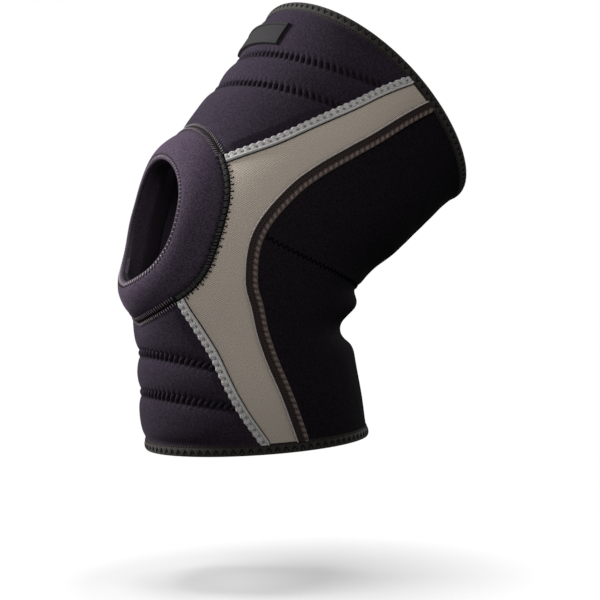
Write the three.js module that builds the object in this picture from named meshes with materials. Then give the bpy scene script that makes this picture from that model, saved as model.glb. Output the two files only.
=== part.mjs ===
// A knee sleeve as it sits on a bent leg: quilted front panels, a padded ring round an open
// knee cap hole, woven side panels between stitched tapes, and a thin plain back.
// Millimetres, Z up. The knee cap faces -Y, the thigh leans back to +Y, the origin is the knee's centre.
import * as THREE from "three";

// Driving sizes of the sleeve's form
const SHIN_LENGTH = 110;
const THIGH_LENGTH = 99.5;
const KNEE_BEND = 44;
const KNEE_DEPTH = 124;
const KNEE_WIDTH = 112;

// Thicknesses of the cloth
const FRONT_WALL = 4;
const SIDE_WALL = 3;
const BACK_WALL = 3;
const PAD_RISE = 3.2;
const PAD_BACK = 2;
const RIM_RISE = 2;
const PAD_LEAN = 0.9;
const PAD_FULL = 0.8;

// Quilting, folds and clearances
const QUILT_RISE = 2;
const QUILT_FLAT = 4;
const SEAM_SINK = 0.8;
const FOLD_DEPTH = 5;
const SEAM_GAP = 0.3;
const LAY_GAP = 0.3;

// Tapes, hems and label
const TAPE_WIDTH = 4.6;
const TAPE_THICKNESS = 0.9;
const PIPE_RISE = 0.7;
const REAR_TAPE_WIDTH = 6.4;
const HEM_WIDTH = 4.8;
const HEM_RISE = 0.7;
const LABEL_WIDTH = 54;
const LABEL_HEIGHT = 13.5;
const LABEL_THICKNESS = 1.4;
const LABEL_FRAME = 1.6;
const LABEL_SUNK = 0.5;
const LABEL_STATION = 9.26;

// Sections from the lower edge to the upper edge, seen from the side. along is a share of the limb's
// length, setBack and depth of the knee's depth, width of the knee's width, turn of the knee's bend,
// rise moves the sides up the limb by a share of the depth, and full brings the widest place forward.
const SHIN_SECTIONS = [
  { along: 1.0, setBack: 0.061, turn: -0.08, depth: 0.955, width: 1.02 },
  { along: 0.78, setBack: 0.036, turn: -0.02, depth: 0.945, width: 1.02 },
  { along: 0.58, setBack: 0.015, turn: 0.0, depth: 0.92, width: 0.98 },
  { along: 0.459, setBack: -0.01, turn: 0.05, depth: 0.905, width: 0.96 },
  { along: 0.341, setBack: -0.006, turn: 0.04, depth: 0.97, width: 0.97 },
  { along: 0.226, setBack: -0.002, turn: 0.12, depth: 0.995, width: 1.0 },
];
const THIGH_SECTIONS = [
  { along: 0.0, setBack: 0.058, turn: 0.32, depth: 1.06, width: 1.05, full: 0.05 },
  { along: 0.245, setBack: 0.041, turn: 0.47, depth: 1.105, width: 1.1, rise: 0.01, full: 0.08 },
  { along: 0.52, setBack: 0.033, turn: 0.67, depth: 1.09, width: 1.14, rise: 0.02, full: 0.1 },
  { along: 0.816, setBack: 0.026, turn: 0.85, depth: 1.107, width: 1.16, rise: 0.02, full: 0.12 },
  { along: 1.04, setBack: 0.016, turn: 1.01, depth: 1.157, width: 1.18, rise: 0.02, full: 0.12 },
];
const TOP = SHIN_SECTIONS.length + THIGH_SECTIONS.length - 1;

// Folds across the hollow of the knee. station and reach count sections, spread is in degrees
// round from the back, and depth is a share of the fold depth, outwards where it is positive.
const FOLDS = [
  { station: 5.05, reach: 0.3, spread: 46, depth: -0.45 },
  { station: 4.25, reach: 0.45, spread: 42, depth: 0.3 },
  { station: 3.25, reach: 0.5, spread: 52, depth: -1.0 },
  { station: 2.3, reach: 0.5, spread: 40, depth: 0.2 },
];

// The knee cap hole and the ring's outer seam: an egg whose lower half tapers
const HOLE = { station: 5.85, rise: 1.1, drop: 1.13, halfAngle: 33.5, taper: 0.7 };
const RING = { station: 5.85, rise: 1.73, drop: 2.64, halfAngle: 55, taper: 0.8 };
const UPPER_MEET = 46;
const LOWER_MEET = -37.5;

// Seams as [degrees round from the front, station], going up. The front ones also meet the ring.
const UPPER_SEAM = [[52, 7.58], [61, 8.08], [69.5, 8.62], [75, 9.1], [82, 9.76], [84.5, 10]];
const LOWER_SEAM = [[75.5, 0], [72.5, 0.22], [63, 0.9], [55.5, 1.66], [48, 2.76]];
const REAR_SEAM = [[93, 0], [86.5, 1.12], [81, 2], [79.5, 2.98], [77, 3.94], [73.5, 4.96], [72, 5.8],
  [73.5, 6.84], [77, 7.4], [83, 8], [88.5, 8.58], [97, 9.8], [98.5, 10]];

// Quilting seams: station at the front, change of station at QUILT_REACH degrees, and how late it changes
const THIGH_SEAMS = [
  { station: 8.37, lift: 0.12, late: 2 },
  { station: 8.9, lift: 0.17, late: 3 },
];
const SHIN_SEAMS = [
  { station: 1.16, lift: -0.22, late: 2 },
  { station: 2.1, lift: -0.4, late: 2 },
];
const QUILT_REACH = 60;
const KNEE_SEAM = { back: 5.05, side: 5.97, bow: 1.3 };

// Rows and columns of the cloth, and how finely curves are followed
const QUILT_ROW = 0.03;
const CHANNEL_ROWS = 2;
const ARC_ROWS = 10;
const REAR_AT_LOWER_MEET = 0.36;
const REAR_AT_UPPER_MEET = 0.585;
const FRONT_COLUMNS = 16;
const QUILT_START = 0.12;
const QUILT_FULL = 0.3;
const SIDE_COLUMNS = 5;
const BACK_COLUMNS = 14;
const RING_COLUMNS = 5;
const HEM_STEPS = 52;
const NEARBY = 0.004;
const EGG_STEP = 8;
const HALVINGS = 30;
const LENGTH_STEPS = 60;
const END_MARGIN = 0.05;

const clamp = THREE.MathUtils.clamp;
const mix = THREE.MathUtils.lerp;
const radians = THREE.MathUtils.degToRad;
const smooth = THREE.MathUtils.smoothstep;
const steps = (count) => Array.from({ length: count + 1 }, (_, k) => k / count);

// The front and back ends of one section in the plane of the bend, with its width and fullness
const BEND = radians(KNEE_BEND);
const SHIN = { length: SHIN_LENGTH, axis: [0, -1], rear: [1, 0] };
const THIGH = {
  length: THIGH_LENGTH,
  axis: [Math.sin(BEND), Math.cos(BEND)],
  rear: [Math.cos(BEND), -Math.sin(BEND)],
};
const sectionRow = (limb) => ({ along, setBack, turn, depth, width, rise = 0, full = 0 }) => {
  const tilt = turn * BEND;
  const half = (depth * KNEE_DEPTH) / 2;
  const y = limb.axis[0] * along * limb.length + limb.rear[0] * setBack * KNEE_DEPTH;
  const z = limb.axis[1] * along * limb.length + limb.rear[1] * setBack * KNEE_DEPTH;
  return [
    y - Math.cos(tilt) * half,
    z + Math.sin(tilt) * half,
    y + Math.cos(tilt) * half,
    z - Math.sin(tilt) * half,
    (width * KNEE_WIDTH) / 2,
    Math.sin(tilt) * rise * KNEE_DEPTH,
    Math.cos(tilt) * rise * KNEE_DEPTH,
    full,
  ];
};

const ROWS = [...SHIN_SECTIONS.map(sectionRow(SHIN)), ...THIGH_SECTIONS.map(sectionRow(THIGH))];
const beyond = (a, b) => a.map((value, k) => 2 * value - b[k]);
const KNOTS = [beyond(ROWS[0], ROWS[1]), ...ROWS, beyond(ROWS[TOP], ROWS[TOP - 1])];

// A section between the table's rows, on a smooth curve through them
function sectionAt(station) {
  const at = clamp(station, 0, TOP);
  const i = Math.min(Math.floor(at), TOP - 1);
  const t = at - i;
  const [a, b, c, d] = KNOTS.slice(i, i + 4);
  return b.map((value, k) => {
    const slope = c[k] - a[k];
    const bowed = 2 * a[k] - 5 * value + 4 * c[k] - d[k];
    const turned = 3 * value - a[k] - 3 * c[k] + d[k];
    return value + (slope * t + bowed * t * t + turned * t * t * t) / 2;
  });
}

// A point on the sleeve's nominal outer surface
function surfacePoint(angle, station) {
  const [frontY, frontZ, backY, backZ, half, riseY, riseZ, full] = sectionAt(station);
  const round = radians(angle);
  const share = (1 - Math.cos(round)) / 2;
  const sides = Math.sin(round) ** 2;
  return new THREE.Vector3(
    half * Math.sin(round + full * Math.sin(round)),
    mix(frontY, backY, share) + riseY * sides,
    mix(frontZ, backZ, share) + riseZ * sides,
  );
}

// Directions on the surface: per degree round, per station up, and straight out
function surfaceFrame(angle, station) {
  const at = clamp(station, END_MARGIN, TOP - END_MARGIN);
  const round = surfacePoint(angle + 0.5, at).sub(surfacePoint(angle - 0.5, at));
  const above = surfacePoint(angle, at + END_MARGIN);
  const below = surfacePoint(angle, at - END_MARGIN);
  const up = above.sub(below).divideScalar(2 * END_MARGIN);
  const out = new THREE.Vector3().crossVectors(round, up).normalize();
  return { round, up, out };
}

// How far the cloth is pushed out or drawn in by the folds behind the knee
function foldHeight({ angle, station }) {
  const fromBack = 180 - Math.abs(angle);
  const heights = FOLDS.map(({ station: at, reach, spread, depth }) => {
    const away = ((station - at) / reach) ** 2 + (fromBack / spread) ** 2;
    return depth * FOLD_DEPTH * Math.exp(-away);
  });
  return heights.reduce((sum, height) => sum + height, 0);
}

function raised(place, height) {
  const { out } = surfaceFrame(place.angle, place.station);
  const level = height + foldHeight(place);
  return surfacePoint(place.angle, place.station).addScaledVector(out, level);
}

// A place moved over the surface by a short step in millimetres
function moved(place, step) {
  const { round, up } = surfaceFrame(place.angle, place.station);
  const e = round.dot(round);
  const f = round.dot(up);
  const g = up.dot(up);
  const a = step.dot(round);
  const b = step.dot(up);
  const area = e * g - f * f;
  return {
    angle: place.angle + (a * g - b * f) / area,
    station: place.station + (b * e - a * f) / area,
  };
}

// The place beside a curve: positive distances lie to the rear of a curve that runs up the near side
function beside(curve, share, distance) {
  const place = curve(share);
  const before = curve(Math.max(share - NEARBY, 0));
  const after = curve(Math.min(share + NEARBY, 1));
  const { round, up, out } = surfaceFrame(place.angle, place.station);
  const along = round.multiplyScalar(after.angle - before.angle);
  along.addScaledVector(up, after.station - before.station);
  return moved(place, along.cross(out).setLength(1).multiplyScalar(distance));
}

// The cloth stops short of the sleeve's two ends by the hem's width
const EDGE = HEM_WIDTH + SEAM_GAP;
function hemStation(angle, atTop, inward) {
  const rate = surfaceFrame(angle, atTop ? TOP : 0).up.length();
  return atTop ? TOP - inward / rate : inward / rate;
}

// Where a value changes sign between two shares, found by halving
function crossing(test, from, to) {
  let low = from;
  let high = to;
  for (let step = 0; step < HALVINGS; step += 1) {
    const middle = (low + high) / 2;
    if (test(middle) > 0 === test(low) > 0) low = middle;
    else high = middle;
  }
  return (low + high) / 2;
}

// The hole's edge and the ring's seam, by degrees round from the near side, with the top at 90
function egg({ station, rise, drop, halfAngle, taper }, degrees) {
  const across = Math.cos(radians(degrees));
  const height = Math.sin(radians(degrees));
  const power = height < 0 ? 2 * taper - 1 : 0;
  return {
    angle: halfAngle * across * Math.abs(across) ** power,
    station: station + height * (height < 0 ? drop : rise),
  };
}

function besideEgg(form, degrees, distance) {
  return beside((share) => egg(form, degrees + EGG_STEP * (share - 0.5)), 0.5, distance);
}

// A seam up the near side, cut off where it meets the hems
function seam(points) {
  const spline = new THREE.SplineCurve(points.map((point) => new THREE.Vector2(...point)));
  const read = (share) => {
    const { x, y } = spline.getPoint(share);
    return { angle: x, station: y };
  };
  const past = (atTop) => (share) => read(share).station - hemStation(read(share).angle, atTop, EDGE);
  const first = past(false)(0) < 0 ? crossing(past(false), 0, 0.5) : 0;
  const last = past(true)(1) > 0 ? crossing(past(true), 0.5, 1) : 1;
  return (share) => read(mix(first, last, share));
}

const pair = ({ angle, station }) => [angle, station];
const upperSeam = seam([pair(egg(RING, UPPER_MEET)), ...UPPER_SEAM]);
const lowerSeam = seam([...LOWER_SEAM, pair(egg(RING, LOWER_MEET))]);
const rearSeam = seam(REAR_SEAM);

// Quilting seams run over the front from tape to tape
const quiltStation = ({ station, lift, late }, angle) =>
  station + lift * (Math.abs(angle) / QUILT_REACH) ** late;
const quiltShare = (curve, quilt) =>
  crossing((share) => curve(share).station - quiltStation(quilt, curve(share).angle), 0, 1);

// Shares of a seam where rows of cloth are laid, with one close to each side of a quilting seam
function rowShares(marks) {
  const ends = [0, ...marks, 1];
  const shares = ends.slice(1).flatMap((to, channel) => {
    const from = ends[channel];
    const low = channel > 0 ? from + QUILT_ROW : from;
    const high = channel < marks.length ? to - QUILT_ROW : to;
    const inside = steps(CHANNEL_ROWS + 1).slice(1, -1).map((share) => mix(low, high, share));
    return [from, ...(channel > 0 ? [low] : []), ...inside, ...(channel < marks.length ? [high] : [])];
  });
  return [...shares, 1];
}

const UPPER_MARKS = THIGH_SEAMS.map((quilt) => quiltShare(upperSeam, quilt));
const LOWER_MARKS = SHIN_SEAMS.map((quilt) => quiltShare(lowerSeam, quilt));
const UPPER_ROWS = rowShares(UPPER_MARKS);
const LOWER_ROWS = rowShares(LOWER_MARKS);

// Rows of the side panels: up the lower tape, round the ring, then up the upper tape
const HALF_GAP = SEAM_GAP / 2;
const arcDegrees = (share) => mix(LOWER_MEET, UPPER_MEET, share);
const corner = (place, other, degrees) => {
  const meet = egg(RING, degrees);
  return {
    angle: place.angle + other.angle - meet.angle,
    station: place.station + other.station - meet.station,
  };
};
const lowerCorner = (distance) =>
  corner(beside(lowerSeam, 1, distance), besideEgg(RING, LOWER_MEET, HALF_GAP), LOWER_MEET);
const upperCorner = (distance) =>
  corner(beside(upperSeam, 0, distance), besideEgg(RING, UPPER_MEET, HALF_GAP), UPPER_MEET);

const sideFronts = [
  ...LOWER_ROWS.slice(0, -1).map((share) => beside(lowerSeam, share, HALF_GAP)),
  lowerCorner(HALF_GAP),
  ...steps(ARC_ROWS).slice(1, -1).map((share) => besideEgg(RING, arcDegrees(share), HALF_GAP)),
  upperCorner(HALF_GAP),
  ...UPPER_ROWS.slice(1).map((share) => beside(upperSeam, share, HALF_GAP)),
];

// The rear seam is shared out over the same rows, with one row on the seam behind the knee
const kneeStation = (angle) => {
  const share = (180 - Math.abs(angle)) / (180 - rearSeam(0.5).angle);
  return mix(KNEE_SEAM.back, KNEE_SEAM.side, share ** KNEE_SEAM.bow);
};
const kneeShare = crossing((share) => rearSeam(share).station - kneeStation(rearSeam(share).angle), 0, 1);
const evenRear = [
  ...LOWER_ROWS.map((_, k, { length }) => mix(0, REAR_AT_LOWER_MEET, k / (length - 1))),
  ...steps(ARC_ROWS).slice(1).map((share) => mix(REAR_AT_LOWER_MEET, REAR_AT_UPPER_MEET, share)),
  ...UPPER_ROWS.slice(1).map((_, k, { length }) => mix(REAR_AT_UPPER_MEET, 1, (k + 1) / length)),
];
const away = evenRear.map((share) => Math.abs(share - kneeShare));
const KNEE_ROW = away.indexOf(Math.min(...away));
const rearShares = evenRear.map((share, k) => (k === KNEE_ROW ? kneeShare : share));

// One closed wall from rows of places. Each row lists its outer and inner points side by side.
function wallGeometry(rows, wraps = false) {
  const columns = rows[0].outer.length;
  const around = columns * 2;
  const positions = rows.flatMap(({ outer, inner }) => [...outer, ...inner.toReversed()]);
  const at = (row, k) => (row % rows.length) * around + (k % around);
  const faces = [];
  for (let row = 0; row < rows.length - (wraps ? 0 : 1); row += 1) {
    for (let k = 0; k < around; k += 1) {
      faces.push([at(row, k), at(row, k + 1), at(row + 1, k + 1)]);
      faces.push([at(row, k), at(row + 1, k + 1), at(row + 1, k)]);
    }
  }
  if (!wraps) {
    const last = rows.length - 1;
    for (let k = 0; k < columns - 1; k += 1) {
      const back = around - 1 - k;
      faces.push([at(0, k), at(0, back), at(0, back - 1)], [at(0, k), at(0, back - 1), at(0, k + 1)]);
      faces.push([at(last, k), at(last, back - 1), at(last, back)]);
      faces.push([at(last, k), at(last, k + 1), at(last, back - 1)]);
    }
  }
  const volume = faces.reduce((sum, [a, b, c]) => {
    const cross = new THREE.Vector3().crossVectors(positions[b], positions[c]);
    return sum + positions[a].dot(cross);
  }, 0);
  const turned = volume < 0 ? faces.map(([a, b, c]) => [a, c, b]) : faces;
  const geometry = new THREE.BufferGeometry().setFromPoints(positions);
  geometry.setIndex(turned.flat());
  geometry.computeVertexNormals();
  return geometry;
}

const mirrored = ({ angle, station }) => ({ angle: -angle, station });
const wallRow = (places, outer, inner) => ({
  outer: places.map((place, k) => raised(place, outer(k))),
  inner: places.map((place, k) => raised(place, inner(k))),
});

// Quilted front panels. A guide row follows the ring, each quilting seam and the hem.
const pillow = (share) => 1 - (2 * share - 1) ** QUILT_FLAT;
const across = (columns) => Array.from({ length: columns + 1 }, (_, k) => (2 * k) / columns - 1);
const placeBetween = (a, b, share) => ({
  angle: mix(a.angle, b.angle, share),
  station: mix(a.station, b.station, share),
});

function frontPanelRows({ shares, marks, guides, edge }) {
  const ends = [0, ...marks, 1];
  return shares.map((share) => {
    const channel = clamp(ends.findLastIndex((end) => end <= share), 0, marks.length);
    const inChannel = (share - ends[channel]) / (ends[channel + 1] - ends[channel]);
    const between = (s) => placeBetween(guides[channel](s), guides[channel + 1](s), inChannel);
    const end = edge(share);
    const drift = { angle: end.angle - between(1).angle, station: end.station - between(1).station };
    const places = across(FRONT_COLUMNS).map((s) => {
      const place = between(s);
      return { angle: place.angle + drift.angle * s, station: place.station + drift.station * Math.abs(s) };
    });
    const onQuilt = marks.includes(share);
    const level = onQuilt ? -SEAM_SINK : QUILT_RISE * pillow(inChannel);
    const height = (k) => level * smooth(1 - Math.abs(across(FRONT_COLUMNS)[k]), QUILT_START, QUILT_FULL);
    return wallRow(places, height, () => -FRONT_WALL);
  });
}

const quiltGuide = (curve, quilt, mark) => (s) => {
  const angle = s * curve(mark).angle;
  return { angle, station: quiltStation(quilt, angle) };
};
const hemGuide = (curve, share, atTop) => (s) => {
  const angle = s * curve(share).angle;
  return { angle, station: hemStation(angle, atTop, EDGE) };
};

const frontThighRows = frontPanelRows({
  shares: UPPER_ROWS,
  marks: UPPER_MARKS,
  guides: [
    (s) => besideEgg(RING, mix(90, UPPER_MEET, s), HALF_GAP),
    ...THIGH_SEAMS.map((quilt, k) => quiltGuide(upperSeam, quilt, UPPER_MARKS[k])),
    hemGuide(upperSeam, 1, true),
  ],
  edge: (share) => (share === 0 ? upperCorner(-HALF_GAP) : beside(upperSeam, share, -HALF_GAP)),
});

const frontShinRows = frontPanelRows({
  shares: LOWER_ROWS,
  marks: LOWER_MARKS,
  guides: [
    hemGuide(lowerSeam, 0, false),
    ...SHIN_SEAMS.map((quilt, k) => quiltGuide(lowerSeam, quilt, LOWER_MARKS[k])),
    (s) => besideEgg(RING, mix(-90, LOWER_MEET, s), HALF_GAP),
  ],
  edge: (share) => (share === 1 ? lowerCorner(-HALF_GAP) : beside(lowerSeam, share, -HALF_GAP)),
});

// The padded ring: its section swells between the hole's edge and the seam
const quarter = (from, to, columns) => steps(columns).slice(0, -1).map((share) => mix(from, to, share));
const RING_STATIONS = [
  ...quarter(LOWER_MEET, UPPER_MEET, ARC_ROWS),
  ...quarter(UPPER_MEET, 180 - UPPER_MEET, FRONT_COLUMNS),
  ...quarter(180 - UPPER_MEET, 180 - LOWER_MEET, ARC_ROWS),
  ...quarter(180 - LOWER_MEET, 360 + LOWER_MEET, FRONT_COLUMNS),
];
const swell = (share) => Math.sin(Math.PI * share ** PAD_LEAN) ** PAD_FULL;
const ringRows = RING_STATIONS.map((degrees) => {
  const inner = egg(HOLE, degrees);
  const outer = besideEgg(RING, degrees, -HALF_GAP);
  const shares = steps(RING_COLUMNS);
  return wallRow(
    shares.map((share) => placeBetween(inner, outer, share)),
    (k) => PAD_RISE * swell(shares[k]) + RIM_RISE * (1 - shares[k]),
    (k) => -FRONT_WALL - PAD_BACK * swell(shares[k]),
  );
});

// Side and back panels
const rowOfSide = (front, k) => {
  const rear = beside(rearSeam, rearShares[k], -HALF_GAP);
  return steps(SIDE_COLUMNS).map((share) => placeBetween(front, rear, share));
};
const sideRows = (turn) =>
  sideFronts.map((front, k) => wallRow(rowOfSide(front, k).map(turn), () => 0, () => -SIDE_WALL));

function backPanelRows(shares, guides) {
  const first = shares[0];
  const last = shares.at(-1);
  return shares.map((share) => {
    const edge = beside(rearSeam, share, HALF_GAP);
    const inside = (share - first) / (last - first);
    const places = across(BACK_COLUMNS).map((s) => {
      const angle = 180 + s * (180 - edge.angle);
      const near = s < 0 ? angle : 360 - angle;
      const between = mix(guides[0](near), guides[1](near), inside);
      const drift = edge.station - mix(guides[0](edge.angle), guides[1](edge.angle), inside);
      return { angle, station: between + drift * Math.abs(s) };
    });
    return wallRow(places, () => 0, () => -BACK_WALL);
  });
}

const besideKnee = (distance) => (angle) =>
  kneeStation(angle) + distance / surfaceFrame(angle, kneeStation(angle)).up.length();
const backShinRows = backPanelRows(rearShares.slice(0, KNEE_ROW + 1), [
  (angle) => hemStation(angle, false, EDGE),
  besideKnee(-HALF_GAP),
]);
const backThighRows = backPanelRows(rearShares.slice(KNEE_ROW), [
  besideKnee(HALF_GAP),
  (angle) => hemStation(angle, true, EDGE),
]);

// Tapes lie over the seams, with a piped edge towards the side panel
function atHem({ angle, station }, share) {
  const low = hemStation(angle, false, EDGE);
  const high = hemStation(angle, true, EDGE);
  if (share === 0 && station < TOP / 2) return { angle, station: low };
  return { angle, station: share === 1 ? high : clamp(station, low, high) };
}

function tapeRows({ curve, shares, width, profile, turn }) {
  return shares.map((share) => {
    const places = profile.map(({ at }) => turn(atHem(beside(curve, share, at * width), share)));
    return wallRow(places, (k) => LAY_GAP + TAPE_THICKNESS + profile[k].rise * PIPE_RISE, () => LAY_GAP);
  });
}

const FRONT_TAPE = [
  { at: -0.5, rise: -0.3 },
  { at: 0.12, rise: 0 },
  { at: 0.25, rise: 1 },
  { at: 0.42, rise: 1 },
  { at: 0.5, rise: -0.3 },
];
const REAR_TAPE = [
  { at: -0.5, rise: 0.4 },
  { at: -0.3, rise: 0 },
  { at: 0, rise: 0 },
  { at: 0.25, rise: 1 },
  { at: 0.5, rise: -0.4 },
];

// Shares of a seam that keep its tape half a tape's width from the ring's seam
const START_CLEAR = 1.5;
const seamLength = (curve) =>
  steps(LENGTH_STEPS).slice(1).reduce((sum, share, k) => {
    const here = curve(share);
    const last = curve(k / LENGTH_STEPS);
    const reached = surfacePoint(here.angle, here.station);
    return sum + reached.distanceTo(surfacePoint(last.angle, last.station));
  }, 0);
const upperStart = TAPE_WIDTH / 2 / seamLength(upperSeam);
const lowerStart = TAPE_WIDTH / 2 / seamLength(lowerSeam);
const clearOfStart = UPPER_ROWS.filter((share) => share > START_CLEAR * upperStart);
const clearOfEnd = LOWER_ROWS.filter((share) => share < 1 - START_CLEAR * lowerStart);
const upperTapeShares = [upperStart, ...clearOfStart];
const lowerTapeShares = [...clearOfEnd, 1 - lowerStart];

// Hems close the two ends with a folded edge
const HEM_PROFILE = [
  { at: 1, outer: 0, inner: 0 },
  { at: 0.8, outer: 1, inner: 1 },
  { at: 0.25, outer: 1, inner: 1 },
  { at: 0, outer: 0, inner: 0 },
];
const hemRows = (atTop) =>
  steps(HEM_STEPS).slice(0, -1).map((turn) => {
    const angle = turn * 360 - 180;
    const inwards = HEM_PROFILE.map(({ at }) => hemStation(angle, atTop, at * HEM_WIDTH));
    const places = inwards.map((station) => ({ angle, station }));
    return wallRow(
      places,
      (k) => HEM_RISE * HEM_PROFILE[k].outer,
      (k) => -BACK_WALL - HEM_RISE * HEM_PROFILE[k].inner,
    );
  });

// The blank label lies on the uppermost channel of the thigh panel, with a raised frame
const labelTurn = LABEL_WIDTH / 2 / surfaceFrame(0, LABEL_STATION).round.length();
const labelLift = LABEL_HEIGHT / surfaceFrame(0, LABEL_STATION).up.length();
const FRAME_STEPS = [0, 0.15, 0.85, 1];
const frameShares = (length, middle) => {
  const edges = FRAME_STEPS.map((step) => (step * LABEL_FRAME) / length);
  return [...edges, ...middle, ...edges.map((edge) => 1 - edge).toReversed()];
};
const labelLevel = (u, v) => {
  const reach = Math.min(Math.min(u, 1 - u) * LABEL_WIDTH, Math.min(v, 1 - v) * LABEL_HEIGHT) / LABEL_FRAME;
  if (reach > mix(FRAME_STEPS[2], 1, 0.5)) return LABEL_THICKNESS - LABEL_SUNK;
  return reach > FRAME_STEPS[1] / 2 ? LABEL_THICKNESS : LABEL_THICKNESS - LABEL_SUNK / 2;
};
const topQuilt = THIGH_SEAMS.at(-1);
const labelColumns = frameShares(LABEL_WIDTH, [0.27, 0.5, 0.73]);
const labelRows = frameShares(LABEL_HEIGHT, [0.5]).map((v) => {
  const places = labelColumns.map((u) => ({
    angle: mix(-labelTurn, labelTurn, u),
    station: LABEL_STATION + (v - 0.5) * labelLift,
  }));
  const under = ({ angle, station }) => {
    const low = quiltStation(topQuilt, angle);
    return QUILT_RISE * pillow((station - low) / (hemStation(angle, true, EDGE) - low)) + LAY_GAP;
  };
  return wallRow(
    places,
    (k) => under(places[k]) + labelLevel(labelColumns[k], v),
    (k) => under(places[k]),
  );
});

// Finishes
const finish = (color, roughness) => new THREE.MeshStandardMaterial({ color, roughness, metalness: 0 });
const NEOPRENE = finish(0x2e2a33, 0.85);
const BACK_CLOTH = finish(0x121014, 0.9);
const SIDE_CLOTH = finish(0x7c7468, 0.8);
const LIGHT_TAPE = finish(0x97958f, 0.7);
const DARK_TAPE = finish(0x5a504c, 0.75);
const HEM_CLOTH = finish(0x2a2828, 0.9);
const LABEL_RUBBER = finish(0x2c2c2e, 0.55);

const sleeve = new THREE.Group();
sleeve.name = "knee_sleeve";
function addPiece(name, rows, material, wraps = false) {
  const mesh = new THREE.Mesh(wallGeometry(rows, wraps), material);
  mesh.name = name;
  sleeve.add(mesh);
}

addPiece("front_thigh_panel", frontThighRows, NEOPRENE);
addPiece("front_shin_panel", frontShinRows, NEOPRENE);
addPiece("patella_ring", ringRows, NEOPRENE, true);
addPiece("back_thigh_panel", backThighRows, BACK_CLOTH);
addPiece("back_shin_panel", backShinRows, BACK_CLOTH);
addPiece("top_hem", hemRows(true), HEM_CLOTH, true);
addPiece("bottom_hem", hemRows(false), HEM_CLOTH, true);
addPiece("label", labelRows, LABEL_RUBBER);

const SIDES = [{ side: "right", turn: (place) => place }, { side: "left", turn: mirrored }];
for (const { side, turn } of SIDES) {
  const upper = { curve: upperSeam, shares: upperTapeShares, width: TAPE_WIDTH, profile: FRONT_TAPE, turn };
  const lower = { curve: lowerSeam, shares: lowerTapeShares, width: TAPE_WIDTH, profile: FRONT_TAPE, turn };
  const rear = { curve: rearSeam, shares: rearShares, width: REAR_TAPE_WIDTH, profile: REAR_TAPE, turn };
  addPiece(`side_panel_${side}`, sideRows(turn), SIDE_CLOTH);
  addPiece(`front_binding_upper_${side}`, tapeRows(upper), LIGHT_TAPE);
  addPiece(`front_binding_lower_${side}`, tapeRows(lower), LIGHT_TAPE);
  addPiece(`rear_binding_${side}`, tapeRows(rear), DARK_TAPE);
}

export default sleeve;
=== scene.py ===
"""A knee sleeve in the form it has on a bent leg, with napped neoprene, twill sides, tapes and stitching."""

from __future__ import annotations

import logging
import math
from dataclasses import dataclass, field
from enum import Enum
from typing import Callable

import bmesh
import bpy
import numpy as np
from mathutils import Matrix, Vector


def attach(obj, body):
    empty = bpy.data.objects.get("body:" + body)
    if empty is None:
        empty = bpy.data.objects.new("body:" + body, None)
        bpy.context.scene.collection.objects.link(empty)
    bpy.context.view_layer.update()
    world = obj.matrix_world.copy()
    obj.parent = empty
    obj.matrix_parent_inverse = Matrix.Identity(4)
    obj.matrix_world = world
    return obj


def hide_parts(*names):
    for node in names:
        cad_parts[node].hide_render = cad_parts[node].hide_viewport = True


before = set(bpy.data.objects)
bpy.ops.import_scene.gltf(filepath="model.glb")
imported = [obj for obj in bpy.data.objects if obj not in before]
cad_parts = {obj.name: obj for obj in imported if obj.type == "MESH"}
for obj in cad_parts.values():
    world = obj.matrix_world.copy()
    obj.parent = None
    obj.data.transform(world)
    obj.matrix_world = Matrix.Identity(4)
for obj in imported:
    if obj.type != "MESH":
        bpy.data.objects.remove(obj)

LOG = logging.getLogger("knee_sleeve")
Array = np.ndarray
Curve = Callable[[Array], Array]
Color = tuple[float, float, float]

MM = 0.001
NEARBY = 0.004
EGG_STEP = 0.03
HEADING_STEP = 0.4
ROUND_STEPS = 1441
WHITE = (1.0, 1.0, 1.0, 1.0)
END_MARGIN = 0.05


class Limb(Enum):
    """The two straight parts of the leg, on either side of the bend."""

    SHIN = "shin"
    THIGH = "thigh"


class End(Enum):
    """The two open ends of the sleeve."""

    LOWER = 0
    UPPER = 1


class Side(Enum):
    """The two mirrored sides of the sleeve, by the sign of their angles."""

    RIGHT = 1
    LEFT = -1


@dataclass(frozen=True)
class Section:
    """One section across the sleeve, as shares of the knee's sizes."""

    along: float
    set_back: float
    turn: float
    depth: float
    width: float
    rise: float = 0.0
    full: float = 0.0


@dataclass(frozen=True)
class Fold:
    """A fold across the hollow of the knee, outwards where its depth is positive."""

    station: float
    reach: float
    spread: float
    depth: float


@dataclass(frozen=True)
class Egg:
    """A closed line round the knee cap, whose lower half tapers."""

    station: float
    rise: float
    drop: float
    half_angle: float
    taper: float

    def at(self, degrees: Array) -> Array:
        """Gives places on the line.

        Args:
            degrees: Turns round the line from the near side, with the top at 90.

        Returns:
            One [angle, station] row for each turn.
        """
        across, height = np.cos(np.radians(degrees)), np.sin(np.radians(degrees))
        power = np.where(height < 0, 2 * self.taper - 1, 0.0)
        reach = np.where(height < 0, self.drop, self.rise)
        return np.column_stack(
            (self.half_angle * across * np.abs(across) ** power, self.station + height * reach)
        )


@dataclass(frozen=True)
class Quilt:
    """A quilting seam that runs over the front from tape to tape."""

    station: float
    lift: float
    late: float

    def at(self, angle: Array) -> Array:
        """The seam's station at each angle."""
        return self.station + self.lift * (np.abs(angle) / 60) ** self.late


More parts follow.
